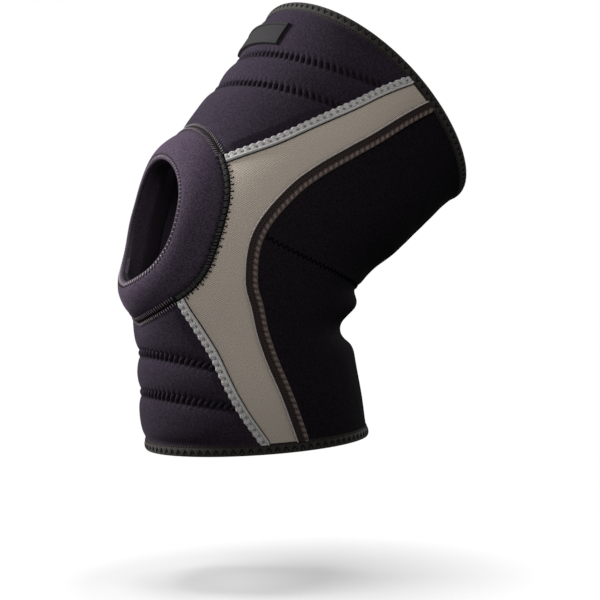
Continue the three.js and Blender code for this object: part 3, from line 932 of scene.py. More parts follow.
def round_cord(
    name: str, rows: Array, radius: float, length: float, middle: Callable[[Array], tuple[Array, Array, Array]]
) -> bpy.types.Object:
    """Makes a round cord.

    Args:
        name: The piece's name.
        rows: Shares along the cord.
        radius: Its radius in millimetres.
        length: Its length on its chart.
        middle: Gives its middle points, and the directions beside it and out, for shares along it.

    Returns:
        The new object.
    """
    profile = Profile.of(np.linspace(0, 2 * math.pi, CORD_SIDES + 1)[:-1], np.array([]))

    def place(turn: Array, inner: Array, row: Array) -> Cloth:
        """Lays the cord's skin round its middle."""
        points, beside, out = middle(row)
        offset = beside * np.cos(turn)[:, None] + out * np.sin(turn)[:, None]
        return Cloth(points + offset * radius, np.column_stack((turn, row * length)), np.zeros(len(row)))

    return woven(name, profile, rows, place, sharp=180)


def turned(places: Array, side: Side) -> Array:
    """Places of the right side on the wanted side."""
    return places * np.array([side.value, 1])


@dataclass
class QuiltedPanel:
    """A front panel of napped neoprene, puffed between quilting seams that draw it in."""

    node: str
    seam: Curve
    quilts: tuple[Quilt, ...]
    end: End
    meet: float
    lean: float
    slot: str = "front_neoprene"
    pitch: float = 3.5
    half_width: float = 80.0
    thread_length: float = 3.0
    band: float = 2.2
    pit: float = -1.0
    ridge: float = 0.85

    def __post_init__(self) -> None:
        """Finds where the quilting seams meet the tape, and how far along each seam its points lie."""
        self.marks = [
            crossing(lambda share, quilt=quilt: self.seam(share)[:, 1] - quilt.at(self.seam(share)[:, 0]))
            for quilt in self.quilts
        ]
        self.upwards = self.end is End.UPPER
        self.stops = [0.0, *self.marks, 1.0]
        spread = np.linspace(0, 1, 400)
        self.lengths = [(spread, travelled(FORM.point(self.quilt_guide(k, spread)))) for k in range(len(self.quilts))]

    def quilt_guide(self, k: int, s: Array) -> Array:
        """Places on a quilting seam, with s from -1 to 1 across the panel."""
        angle = s * self.seam(np.array([self.marks[k]]))[0, 0]
        return np.column_stack((angle, self.quilts[k].at(angle)))

    def ring_guide(self, s: Array) -> Array:
        """Places along the ring's seam."""
        return FORM.beside_egg(RING, mix(90.0 if self.upwards else -90.0, self.meet, s), HALF_GAP)

    def hem_guide(self, s: Array) -> Array:
        """Places along the hem."""
        angle = s * self.seam(np.array([1.0 if self.upwards else 0.0]))[0, 0]
        return np.column_stack((angle, FORM.hem_station(angle, self.end, EDGE)))

    def guide(self, k: int, s: Array) -> Array:
        """Places on the guide that the rows pass at the stop k."""
        if 0 < k < len(self.stops) - 1:
            return self.quilt_guide(k - 1, s)
        return self.ring_guide(s) if (k == 0) == self.upwards else self.hem_guide(s)

    def edge(self, share: Array) -> Array:
        """Places beside the tape's seam, drawn to the ring's seam where the two meet."""
        corner_share = 0.0 if self.upwards else 1.0
        meet = RING.at(np.array([self.meet]))
        beside = FORM.beside_egg(RING, np.array([self.meet]), HALF_GAP)
        near = 1 - smooth(np.abs(share - corner_share), 0, 0.05)
        return FORM.beside(self.seam, share, -HALF_GAP) + (beside - meet) * near[:, None]

    def places(self, s: Array, share: Array) -> Array:
        """Places on the panel for s across it and shares along its tape."""
        channel = np.clip(np.searchsorted(self.stops, share, side="right") - 1, 0, len(self.marks))
        low, high = np.array(self.stops)[channel], np.array(self.stops)[channel + 1]
        inside = ((share - low) / (high - low))[:, None]
        side = np.ones_like(s)
        before, after, near, far = (np.zeros((len(s), 2)) for _ in range(4))
        for k in range(len(self.marks) + 1):
            here = channel == k
            before[here], after[here] = self.guide(k, s[here]), self.guide(k + 1, s[here])
            near[here], far[here] = self.guide(k, side[here]), self.guide(k + 1, side[here])
        drift = self.edge(share) - mix(near, far, inside)
        return mix(before, after, inside) + drift * np.column_stack((s, np.abs(s)))

    def slant(self, s: Array) -> Array:
        """How far the stitches across a quilting seam lean, upright in front and slanted at the sides."""
        return self.lean * np.abs(s) ** 0.9

    def relief(self, places: Array, s: Array, share: Array) -> tuple[Array, Array]:
        """How far the cloth stands up, and how much painted shade it gets."""
        points = FORM.point(places)
        sizes = [FORM.apart(places, self.guide(k, s)) for k in range(len(self.stops))]
        to_edge = FORM.apart(places, turned_by(self.edge(share), s))
        nearest, clear = np.min(sizes, axis=0), smooth(to_edge, 1.8, 8.0)
        level = puff(nearest) * clear
        level += 0.28 * wander(points, size=26, seed=3) * smooth(nearest, 1, 9) * clear
        shade = np.zeros(len(points))
        for k, mark in enumerate(self.marks):
            across = sizes[k + 1] * np.sign(share - mark)
            along = np.interp(np.abs(s), *self.lengths[k])
            wave = crests((along - self.slant(s) * across) / self.pitch)
            band = hump(across, self.band, 4) * smooth(to_edge, 0.4, 2.4)
            bead = (self.ridge - self.pit) * wave**0.6 * (1 - 0.4 * (across / self.band) ** 2)
            level = mix(level, self.pit + bead, band)
            beyond = hump(np.abs(across) - self.band, 2.2) * (1 - band)
            level += 0.16 * (2 * wave - 1) * beyond * clear
            # Painted shade in the pits between each seam's beads, and a painted shadow line along one side of the
            # beads.
            shade = np.maximum(shade, band * (1 - wave) ** 1.3 * 0.95)
            shade = np.maximum(shade, 0.4 * hump(across + self.band, 0.7) * clear)
        return level, shade

    def build(self) -> None:
        """Makes the panel."""
        length = curve_length(self.seam)
        rows = spaced(length, self.stops, fine=0.5, coarse=1.6, reach=4.2)
        profile = Profile.of(np.linspace(-1, 1, 330), np.linspace(-1, 1, 60))

        def place(s: Array, inner: Array, share: Array) -> Cloth:
            """Lays the outer face in relief and the inner face plain."""
            places = self.places(s, share)
            level, shade = self.relief(places, s, share)
            return Cloth.wall(places, inner, level, -FRONT_WALL, (s * self.half_width, share * length), shade)

        piece = woven(f"{self.node}_cloth", profile, rows, place)
        stretched(self.places, -1.0)
        dress(piece, FRONT_NEOPRENE, self.slot, self.node)

    def stitches(self) -> None:
        """Makes the dark threads that lie in the pits of the quilting seams."""
        run = Stitching(f"{self.node}_quilting")
        for k, (spread, along) in enumerate(self.lengths):
            centres = np.interp((np.arange(int(along[-1] / self.pitch)) + 0.5) * self.pitch, along, spread)
            s = np.concatenate((-centres[::-1], centres))
            places = self.quilt_guide(k, s)
            around, up, out = FORM.frame(places)
            middle = FORM.raised(places, self.pit + 0.25)
            way = unit(unit(up) + unit(around) * (self.slant(s) * np.sign(s))[:, None])
            half = way * self.thread_length / 2
            run.lay(middle - half, middle + half, out, radius=0.26)
        run.dressed(BLACK_THREAD, self.slot)


def turned_by(places: Array, s: Array) -> Array:
    """Places of the right side, mirrored where s is negative."""
    return places * np.column_stack((np.where(s < 0, -1, 1), np.ones(len(s))))


def travelled_round(egg: Egg, degrees: Array) -> Array:
    """How far round an egg's line each turn lies, in millimetres."""
    turns = np.linspace(0, 360, 721)
    return np.interp(np.mod(degrees, 360), turns, travelled(FORM.point(egg.at(turns))))


def heading(egg: Egg, degrees: Array) -> Array:
    """Unit directions round an egg's line."""
    return unit(FORM.point(egg.at(degrees + HEADING_STEP)) - FORM.point(egg.at(degrees - HEADING_STEP)))


@dataclass
class PatellaRing:
    """The padded ring round the knee cap hole, with its stitched rim and the rope of thread over its seam."""

    node: str = "patella_ring"
    slot: str = "ring_neoprene"
    pad_rise: float = 3.2
    pad_back: float = 2.0
    rim_rise: float = 3.5
    edge_wall: float = 3.4
    girth: float = 330.0
    width: float = 26.0
    pitch: float = 3.4
    comb_pitch: float = 1.65
    rim_pitch: float = 2.1

    def places(self, degrees: Array, share: Array) -> Array:
        """Places on the ring for turns round it and shares from the hole to the seam."""
        return mix(HOLE.at(degrees), FORM.beside_egg(RING, degrees, -HALF_GAP), share[:, None])

    def level(self, degrees: Array, share: Array) -> tuple[Array, Array]:
        """How far the pad stands up, and how much painted shade it gets."""
        places = self.places(degrees, share)
        to_seam, to_hole = (FORM.apart(places, egg.at(degrees)) for egg in (RING, HOLE))
        swell = np.sin(math.pi * np.clip(share, 0, 1) ** 0.72) ** 0.8
        level = self.pad_rise * swell + self.rim_rise * (1 - share) - 0.7 * hump(to_hole - 1.9, 0.7)
        turn = travelled_round(RING, degrees) * 2 * math.pi / self.pitch
        level += 0.22 * np.cos(turn) * hump(to_seam - 1.6, 1.6)
        level += 0.3 * wander(FORM.point(places), size=24, seed=11) * smooth(to_seam, 1, 7)
        # Painted shade in the crease along the outer seam and in the dip beyond the rim's edging.
        return level, np.maximum(0.9 * hump(to_seam, 2.6), 0.45 * hump(to_hole - 2.1, 0.55))

    def build(self) -> None:
        """Makes the pad."""
        crowded = 0.5 - 0.5 * np.cos(np.linspace(0, math.pi, 44))
        profile = Profile.of(0.6 * crowded + 0.4 * np.linspace(0, 1, 44), np.linspace(0, 1, 14))

        def place(share: Array, inner: Array, row: Array) -> Cloth:
            """Lays the crowned outer face and the softer inner one."""
            degrees = row * 360
            level, shade = self.level(degrees, share)
            swell = np.sin(math.pi * np.clip(share, 0, 1) ** 0.9) ** 0.8
            back = mix(self.rim_rise - self.edge_wall, -FRONT_WALL - self.pad_back * swell, smooth(share, 0, 0.2))
            chart = (row * self.girth, share * self.width)
            return Cloth.wall(self.places(degrees, share), inner, level, back, chart, shade)

        piece = woven(f"{self.node}_pad", profile, np.linspace(0, 1, 421), place)
        dress(piece, RING_NEOPRENE, self.slot, self.node)

    def line(self, egg: Egg, pitch: float) -> Array:
        """Turns round a line that lie an even distance apart."""
        degrees = np.linspace(0, 360, ROUND_STEPS)
        along = travelled(FORM.point(egg.at(degrees)))
        count = int(round(along[-1] / pitch))
        return np.interp(np.arange(count) * along[-1] / count, along, degrees)

    def beside_twill(self, degrees: Array) -> Array:
        """Where the seam runs beside the side panels, not beside the front panels."""
        turn = np.mod(degrees + 90, 360) - 90
        folded = np.where(turn > 90, 180 - turn, turn)
        return (folded > LOWER_MEET - 3) & (folded < UPPER_MEET + 3)

    def directions(self, degrees: Array) -> tuple[Array, Array, Array]:
        """Unit directions round the ring's seam, away from the hole, and straight out."""
        around, out = heading(RING, degrees), FORM.frame(RING.at(degrees))[2]
        return around, unit(np.cross(around, out)), out

    def over(self, degrees: Array, beside: float, height: float) -> Array:
        """Points over the cloth, beside the ring's seam."""
        return FORM.raised(FORM.beside_egg(RING, degrees, beside), height)

    def at(self, degrees: Array, away: float, lift: float) -> Array:
        """Points on the pad so many millimetres from the hole's edge."""
        share = away / FORM.apart(RING.at(degrees), HOLE.at(degrees))
        return FORM.raised(self.places(degrees, share), self.level(degrees, share)[0] + lift)

    def rope(self) -> None:
        """Makes the stitches over the outer seam: a wrapped rope beside the twill, combs beside the neoprene."""
        picked = np.random.default_rng(5)
        wraps, legs = Stitching("ring_seam_wraps"), Stitching("ring_seam_legs")
        base = self.line(RING, self.pitch)
        base = base[self.beside_twill(base)]
        for offset, radius in ((-0.95, 0.5), (0.0, 0.56), (0.95, 0.5)):
            degrees = base + offset / 0.85
            around, side, out = self.directions(degrees)
            jitter = picked.normal(0, 0.1, (len(base), 1))
            middle = FORM.raised(RING.at(degrees), 1.0) - side * 0.35
            reach = side * (1.35 + jitter) + around * 0.5
            wraps.lay(middle - reach, middle + reach, out, radius)
        around, side, out = self.directions(base)
        outer = self.over(base, 1.0, 0.4)
        tilt = picked.normal(0, 0.16, (len(base), 1))
        size = picked.uniform(1.9, 2.8, (len(base), 1))
        legs.lay(outer, outer + side * size + around * tilt * size, out, radius=0.34)
        tip = outer + side * size * 0.8
        legs.lay(tip - around * 0.1, tip + around * (0.8 + 0.3 * tilt), out, radius=0.26)
        between = self.over(base + 1.9, 1.0, 0.3)
        legs.lay(between, between + side * (0.4 + 0.4 * size) - around * 0.2, out, radius=0.3)
        inner = self.over(base, -1.6, 0.8)
        legs.lay(inner, inner - side * 1.3 + out * 0.8, out, radius=0.34)
        wraps.dressed(GREY_THREAD, self.slot)
        legs.dressed(BLACK_THREAD, self.slot)
        self.cord("ring_seam_cord", beside=0.95, height=0.42, radius=0.5)
        self.cord("ring_seam_core", beside=-0.1, height=0.2, radius=0.62)
        self.combs(picked)

    def combs(self, picked: np.random.Generator) -> None:
        """Makes the two combs of fine threads where the pad meets the front panels."""
        combs = Stitching("ring_seam_combs")
        spots = self.line(RING, self.comb_pitch)
        spots = spots[~self.beside_twill(spots)]
        around, side, out = self.directions(spots)
        for way, near, far, height, rise in ((-1, 0.35, 2.5, 0.9, 1.15), (1, 0.7, 2.6, 0.75, 0.35)):
            start = self.over(spots, way * near, height)
            slant = around * (0.45 + picked.normal(0, 0.12, (len(spots), 1)))
            combs.lay(start, start + side * way * (far - near) + out * rise + slant, out, radius=0.3)
        combs.dressed(ROSE_THREAD, self.slot)

    def cord(self, name: str, beside: float, height: float, radius: float) -> None:
        """Makes a round black cord along the ring's seam."""

        def middle(row: Array) -> tuple[Array, Array, Array]:
            """The cord's middle, and the directions beside it and out."""
            places = FORM.beside_egg(RING, row * 360, beside)
            out = FORM.frame(places)[2]
            return FORM.raised(places, height), unit(np.cross(heading(RING, row * 360), out)), out

        dress(round_cord(name, np.linspace(0, 1, 301), radius, 300, middle), BLACK_THREAD, self.slot)

    def rim(self) -> None:
        """Makes the overlocked rim of the hole: fine threads over its edge, black grains of painted shade down the
        hole's inner wall, and a row of needle holes as black grains of painted shade.
        """
        threads, hole_shade = Stitching("rim_threads"), Stitching("rim_hole_shade")
        degrees = self.line(HOLE, self.rim_pitch)
        ahead, up = heading(HOLE, degrees), FORM.frame(HOLE.at(degrees))[2]
        inside, outside = self.at(degrees, 0.0, -0.1), self.at(degrees, 2.2, 0.1)
        out = unit(np.cross(outside - inside, ahead))
        out *= np.sign(np.sum(out * up, axis=1, keepdims=True))
        threads.lay(inside, outside + ahead * 0.4, out, radius=0.56)
        filler = self.at(degrees, 0.1, -0.1) + ahead * self.rim_pitch / 2
        threads.lay(filler, self.at(degrees, 1.4, 0.0) + ahead * 1.25, out, radius=0.44, flat=0.7)
        # Black grains down the hole's inner wall paint it in shade.
        low = self.at(degrees, 0.0, -1.9)
        for step in (0.0, self.rim_pitch / 2):
            start = inside - out * 0.3 + ahead * step
            hole_shade.lay(start, low + ahead * step, unit(inside - outside), radius=0.4, flat=0.6)
        # The needle holes are black grains of painted shade.
        hole = self.at(degrees, 2.3, 0.0) + ahead * 1.2
        hole_shade.lay(hole - ahead * 0.55, hole + ahead * 0.55, up, radius=0.6, flat=0.7)
        threads.dressed(ROSE_THREAD, self.slot)
        hole_shade.dressed(BLACK_THREAD, self.slot)


@dataclass
class SidePanel:
    """A woven side panel, from the front tapes and the ring's seam to the rear tape."""

    side: Side
    at_lower_meet: float = 0.36
    at_upper_meet: float = 0.585

    def front(self, row: Array) -> Array:
        """Places along the panel's front edge."""
        low, high = self.at_lower_meet, self.at_upper_meet
        places = np.zeros((len(row), 2))
        lower, upper = row < low, row > high
        ring = ~(lower | upper)
        if lower.any():
            places[lower] = FORM.beside(LOWER_SEAM, row[lower] / low, HALF_GAP)
        if upper.any():
            places[upper] = FORM.beside(UPPER_SEAM, (row[upper] - high) / (1 - high), HALF_GAP)
        if ring.any():
            degrees = mix(LOWER_MEET, UPPER_MEET, (row[ring] - low) / (high - low))
            places[ring] = FORM.beside_egg(RING, degrees, HALF_GAP)
        return places

    def build(self) -> bpy.types.Object:
        """Makes the panel."""
        name = f"side_panel_{self.side.name.lower()}"
        profile = Profile.of(np.linspace(0, 1, 44), np.linspace(0, 1, 10))

        def place(share: Array, inner: Array, row: Array) -> Cloth:
            """Lays the panel between its two edges, a little puffed."""
            places = self.places(share, row)
            points = FORM.point(places)
            edges = (np.zeros_like(row), np.ones_like(row))
            to_front, to_rear = (FORM.apart(places, self.places(edge, row)) for edge in edges)
            near = np.minimum(to_front, to_rear)
            level = (0.5 + 0.25 * wander(points, size=30, seed=7)) * (1 - hump(near, 7))
            level *= smooth(np.minimum(row, 1 - row), 0.006, 0.035)
            # Painted shade beside the front tapes and the ring's seam, and fainter beside the rear tape.
            shade = 0.55 * hump(to_front, 2.8, 4) + 0.25 * hump(to_rear, 4.2, 4)
            chart = (points[:, 1], points[:, 2])
            return Cloth.wall(turned(places, self.side), inner, level, -SIDE_WALL, chart, shade)

        piece = woven(f"{name}_cloth", profile, np.linspace(0, 1, 240), place)
        stretched(self.places)
        dress(piece, SIDE_TWILL, "side_twill", name)

    def places(self, share: Array, row: Array) -> Array:
        """Places on the right panel for shares from its front edge to its rear one."""
        return mix(self.front(row), FORM.beside(REAR_SEAM, row, -HALF_GAP), share[:, None])


KNEE_SHARE = crossing(lambda share: REAR_SEAM(share)[:, 1] - knee_station(REAR_SEAM(share)[:, 0]))


@dataclass
class BackPanel:
    """A plain thin panel behind the leg, between the seam at the back of the knee and one hem."""

    node: str
    end: End
    first: float
    last: float
    half_width: float = 95.0
    height: float = 100.0

    def guide(self, angle: Array, at_knee: bool) -> Array:
        """The station at an angle, beside the knee's seam or along the hem."""
        if not at_knee:
            return FORM.hem_station(angle, self.end, EDGE)
        station = knee_station(angle)
        rate = np.linalg.norm(FORM.frame(np.column_stack((angle, station)))[1], axis=1)
        return station + (HALF_GAP if self.end is End.UPPER else -HALF_GAP) / rate

    def build(self) -> bpy.types.Object:
        """Makes the panel."""
        profile = Profile.of(np.linspace(-1, 1, 190), np.linspace(-1, 1, 60))

        def place(s: Array, inner: Array, row: Array) -> Cloth:
            """Lays the panel from tape to tape round the back."""
            places = self.places(s, row)
            points = FORM.point(places)
            near = np.minimum(places[:, 0], 360 - places[:, 0])
            to_seam = np.minimum(np.abs(places[:, 1] - knee_station(near)) * 20, 30)
            puckers = 0.3 * wander(points, size=7, seed=21) * hump(to_seam, 6)
            clear = smooth(1 - np.abs(s), 0.015, 0.12) * smooth(np.minimum(row, 1 - row), 0, 0.05)
            swells = 0.35 * wander(points, size=34, seed=17) + 0.12 * wander(points, size=12, seed=19)
            level = (swells + puckers) * clear
            return Cloth.wall(places, inner, level, -BACK_WALL, (s * self.half_width, row * self.height))

        piece = woven(f"{self.node}_cloth", profile, np.linspace(0, 1, 120), place)
        stretched(self.places, -1.0)
        dress(piece, BACK_NEOPRENE, "back_neoprene", self.node)

    def places(self, s: Array, row: Array) -> Array:
        """Places on the panel for s from -1 to 1 round the back and shares upwards."""
        edge = FORM.beside(REAR_SEAM, mix(self.first, self.last, row), HALF_GAP)
        angle = 180 + s * (180 - edge[:, 0])
        near = np.where(s < 0, angle, 360 - angle)
        between, ends = (
            mix(self.guide(turn, self.end is End.UPPER), self.guide(turn, self.end is End.LOWER), row)
            for turn in (near, edge[:, 0])
        )
        return np.column_stack((angle, between + (edge[:, 1] - ends) * np.abs(s)))


def knee_stitches() -> None:
    """The zigzag of black thread over the seam behind the knee."""
    run = Stitching("knee_seam_stitches")
    start = REAR_SEAM(np.array([KNEE_SHARE]))[0, 0] + 3
    angle = np.linspace(start, 360 - start, 600)

    def on_seam(angle: Array) -> Array:
        """Places on the seam's line."""
        return np.column_stack((angle, knee_station(np.minimum(angle, 360 - angle))))

    def over_seam(angle: Array, beside: float, height: float) -> Array:
        """Points beside the seam's line, a little over the cloth."""
        places = on_seam(angle)
        return FORM.raised(places, height) + unit(FORM.frame(places)[1]) * beside

    along = travelled(over_seam(angle, 0.0, 0.0))
    corners = np.interp(np.arange(KNEE_STITCH_START, along[-1], KNEE_STITCH_PITCH), along, angle)
    for first, way in ((0, KNEE_STITCH_REACH), (1, -KNEE_STITCH_REACH)):
        starts, ends = corners[first:-1:2], corners[first + 1 :: 2]
        out = FORM.frame(on_seam(starts))[2]
        run.lay(over_seam(starts, way, 0.1), over_seam(ends, -way, 0.1), out, radius=0.34, flat=0.8)
    run.dressed(SEAM_THREAD, "back_neoprene")


class Binding(Enum):
    """The two kinds of tape over the seams."""

    FRONT = "front"
    REAR = "rear"


@dataclass
class Tape:
    """A stitched tape laid over a seam, with a piped edge."""

    node: str
    kind: Binding
    curve: Curve
    side: Side
    first: float = 0.0
    last: float = 1.0
    pitch: float = 3.7
    row_pitch: float = 0.55
    cord_pitch: float = 0.8

    def __post_init__(self) -> None:
        """Picks the tape's width and finish, and measures how far along it each share of its curve lies."""
        front = self.kind is Binding.FRONT
        self.width = TAPE_WIDTH if front else REAR_TAPE_WIDTH
        self.finish = LIGHT_TAPE if front else DARK_TAPE
        self.shares = np.linspace(self.first, self.last, 400)
        self.run = travelled(FORM.point(self.curve(self.shares)))

    def level(self, t: Array | float, along: Array) -> tuple[Array, Array]:
        """How high the tape stands over the cloth, and how far its color is darkened, for t from -0.5 to 0.5 across it.
        """
        edge = smooth(0.5 - np.abs(t), 0, 0.07)
        if self.kind is Binding.FRONT:
            wave, pipe, groove = crests(along / self.pitch), hump(t - 0.34, 0.12, 4), hump(t - 0.17, 0.045)
            petal = smooth(-t, -0.12, 0.16)
            beyond = np.mod(along, self.pitch) - self.pitch / 2
            pit = hump(beyond, 0.75) * hump((t + 0.02) * self.width, 0.62)
            level = 0.9 + 0.6 * pipe + petal * (0.4 * wave**0.6 - 0.2) - 0.7 * pit - 0.3 * groove
            # Painted shade in the pits, in the groove beside the piped edge and between the petals.
            shade = np.minimum(0.35 * groove + 0.85 * pit + 0.3 * petal * (1 - wave) ** 4, 0.8)
        else:
            wave = crests((along + 0.45 * t * self.width) / self.pitch)
            ridge = smooth(t, 0.02, 0.16) * smooth(0.5 - t, 0, 0.14)
            level = 0.7 + 0.3 * hump(t + 0.43, 0.07) + ridge * (0.35 + 0.95 * wave**0.8)
            # The strip's darkening is the tape's own darker brown; the darkening between the ridge's bumps is painted
            # shade.
            shade = 0.94 * (1 - smooth(t, 0.04, 0.18)) + 0.8 * ridge * (1 - wave) ** 2
        return LAY_GAP + level * (0.45 + 0.55 * edge), shade

    def beside(self, row: Array, t: Array | float) -> Array:
        """Places t of the tape's width from its middle, on its own side and ended along the hems."""
        return turned(at_hems(FORM.beside(self.curve, row, t * self.width), row), self.side)

    def build(self) -> None:
        """Makes the tape."""
        rows = evenly(self.curve, self.row_pitch, self.first, self.last)
        along_all = travelled(FORM.point(self.curve(rows)))
        profile = Profile.of(np.linspace(-0.5, 0.5, 26), np.linspace(-0.5, 0.5, 4))

        def place(t: Array, inner: Array, row: Array) -> Cloth:
            """Lays the tape along its curve."""
            along = np.interp(row, rows, along_all)
            level, shade = self.level(t, along)
            wavy = 0.05 * np.cos(2 * math.pi * along / self.pitch) * smooth(-t, 0.2, 0.5)
            return Cloth.wall(self.beside(row, t - wavy), inner, level, LAY_GAP / 3, (t * self.width, along), shade)

        dress(woven(f"{self.node}_cloth", profile, rows, place, sharp=60), self.finish, self.finish.name, self.node)

    def on_tape(self, rows: Array, t: float, lift: float) -> Array:
        """Points on the tape's outer face."""
        level, _ = self.level(t, np.interp(rows, self.shares, self.run))
        return FORM.raised(self.beside(rows, t), level + lift)

    def spots(self, offset: float, pitch: float) -> Array:
        """Shares of the curve at each stitch, starting so far along the first one."""
        return np.interp(np.arange(offset, self.run[-1] - 0.3, pitch), self.run, self.shares)

    def out(self, rows: Array) -> Array:
        """The outward direction at each share."""
        return FORM.frame(turned(self.curve(rows), self.side))[2]

    def stitches(self) -> None:
        """Makes the tape's threads, and the cord along its edge: a black painted shadow line on a front tape, pale
        piping on a rear one.
        """
        if self.kind is Binding.FRONT:
            self.zigzag()
            # A black cord just past the piped edge paints the shadow line on the side panel.
            self.edge_cord("shadow_cord", t=0.53, height=0.16, radius=0.3, finish=BLACK_THREAD)
        else:
            self.needlework()
            self.edge_cord("piping", t=-0.5, height=LAY_GAP + 0.75, radius=0.42, finish=PIPING)

    def zigzag(self) -> None:
        """Makes a front tape's pale zigzag through its pits and crests, and the threads over its edge."""
        vees, edge = Stitching(f"{self.node}_vees"), Stitching(f"{self.node}_edge_threads")
        pits, tops = self.spots(self.pitch / 2, self.pitch), self.spots(self.pitch, self.pitch)
        count = min(len(pits) - 1, len(tops))
        for ends in (pits[:count], pits[1 : count + 1]):
            path = [
                self.on_tape(mix(ends, tops[:count], share), -0.08 - 0.34 * share, 0.1) for share in (0.0, 0.5, 1.0)
            ]
            for start, stop in zip(path, path[1:]):
                vees.lay(start, stop, self.out(tops[:count]), radius=0.28)
        start, stop = self.on_tape(tops, -0.2, 0.02), self.on_tape(tops, -0.6, -0.45)
        edge.lay(start, stop, self.out(tops), radius=0.34)
        vees.dressed(PALE_THREAD, self.finish.name)
        edge.dressed(PALE_THREAD, self.finish.name)

    def needlework(self) -> None:
        """Makes a rear tape's two rows of needle holes as black grains of painted shade, and the threads over its
        ridge.
        """
        hole_shade, ties = Stitching(f"{self.node}_needle_holes"), Stitching(f"{self.node}_ridge_threads")
        for t, offset in ((-0.27, 0.4), (-0.06, 1.2)):
            rows, ahead = (self.spots(offset + step, self.pitch / 2) for step in (0, 0.75))
            count = min(len(rows), len(ahead))
            start, stop = self.on_tape(rows[:count], t, 0.02), self.on_tape(ahead[:count], t, 0.02)
            hole_shade.lay(start, stop, self.out(rows[:count]), radius=0.34, flat=0.5)
        rows = self.spots(self.pitch / 2, self.pitch)
        ties.lay(self.on_tape(rows, 0.02, 0.0), self.on_tape(rows, 0.46, 0.0), self.out(rows), radius=0.22)
        hole_shade.dressed(BLACK_THREAD, self.finish.name)
        ties.dressed(BLACK_THREAD, self.finish.name)

    def edge_cord(self, word: str, t: float, height: float, radius: float, finish: Finish) -> None:
        """Makes a thin round cord that runs along the tape, t of its width from its middle."""

        def middle(row: Array) -> tuple[Array, Array, Array]:
            """The cord's middle, and the directions beside it and out."""
            places, flank = self.beside(row, t), self.beside(row, t + 0.05)
            return FORM.raised(places, height), unit(FORM.point(flank) - FORM.point(places)), FORM.frame(places)[2]

        rows = evenly(self.curve, self.cord_pitch, self.first, self.last)
        dress(round_cord(f"{self.node}_{word}", rows, radius, 100, middle), finish, self.finish.name)


def at_hems(places: Array, row: Array) -> Array:
    """Ends a tape's places along the hems."""
    low = FORM.hem_station(places[:, 0], End.LOWER, EDGE)
    high = FORM.hem_station(places[:, 0], End.UPPER, EDGE)
    station = np.clip(places[:, 1], low, high)
    station = np.where((row <= 0) & (station < TOP / 2), low, station)
    station = np.where((row >= 1) & (station > TOP / 2), high, station)
    return np.column_stack((places[:, 0], station))


@dataclass
class Hem:
    """A folded hem at one end of the sleeve, with chevron stitches."""

    node: str
    end: End
    rise: float = 0.7
    lip: float = 0.8
    pitch: float = 4.4
    tie_pitch: float = 1.75
    middle: float = 2.0

    def __post_init__(self) -> None:
        """Measures how far round the hem each angle lies."""
        self.angles = np.linspace(-180, 180, ROUND_STEPS)
        self.run = travelled(FORM.point(self.place_at(self.angles, self.middle)))

    def place_at(self, angle: Array, inward: Array | float) -> Array:
        """Places so many millimetres in from the edge."""
        return np.column_stack((angle, FORM.hem_station(angle, self.end, inward)))

    def level(self, inward: Array | float) -> Array:
        """How far the hem stands over the sleeve's surface."""
        crown = self.rise * (1 - np.abs(2 * np.minimum(inward, HEM_WIDTH) / HEM_WIDTH - 1) ** 5)
        return np.maximum(crown, 0.22 * smooth(inward, 2, 3))

    def build(self) -> None:
        """Makes the hem."""
        across = np.linspace(0.02, 1, 12) * HEM_WIDTH
        profile = Profile.of(np.append(across, HEM_WIDTH + self.lip), across[::2])

        def place(inward: Array, inner: Array, row: Array) -> Cloth:
            """Lays the hem round the end of the sleeve."""
            angle = row * 360 - 180
            run = np.interp(angle, self.angles, self.run)
            pucker = 0.14 * np.cos(2 * math.pi * run / self.pitch) * np.sin(math.pi * inward / HEM_WIDTH)
            # Painted shade along the hem's inner edge, where it lies on the cloth.
            level, shade = self.level(inward), 0.5 * hump(inward - HEM_WIDTH, 0.6)
            places = self.place_at(angle, inward)
            return Cloth.wall(places, inner, level + pucker, -BACK_WALL - level, (inward, run), shade)

        piece = woven(f"{self.node}_tape", profile, np.linspace(0, 1, 521), place, sharp=60)
        dress(piece, HEM_TAPE, "hem_tape", self.node)

    def spots(self, pitch: float, shift: float) -> Array:
        """Angles that lie an even distance apart round the hem."""
        count = int(self.run[-1] / pitch)
        return np.interp((np.arange(count) + shift) * self.run[-1] / count, self.run, self.angles)

    def at(self, angle: Array, inward: float, lift: float) -> Array:
        """Points on the hem's outer face."""
        return FORM.raised(self.place_at(angle, inward), self.level(inward) + lift)

    def stitches(self) -> None:
        """Makes the chevrons along the hem, and the short stitches that tie it to the cloth."""
        chevrons, ties = Stitching(f"{self.node}_chevrons"), Stitching(f"{self.node}_ties")
        tips, near = self.spots(self.pitch, 0.5), self.spots(self.tie_pitch, 0.0)
        out = FORM.frame(self.place_at(tips, self.middle))[2]
        for shift in (0.2, 0.8):
            foot = self.spots(self.pitch, shift)
            chevrons.lay(self.at(foot, 1.1, 0.05), self.at(tips, 3.9, 0.05), out, radius=0.42, flat=0.6)
        out = FORM.frame(self.place_at(near, self.middle))[2]
        ties.lay(self.at(near, HEM_WIDTH - 0.3, 0.0), self.at(near, HEM_WIDTH + 0.8, -0.05), out, radius=0.24, flat=0.8)
        chevrons.dressed(BLACK_THREAD, "hem_tape")
        ties.dressed(BLACK_THREAD, "hem_tape")


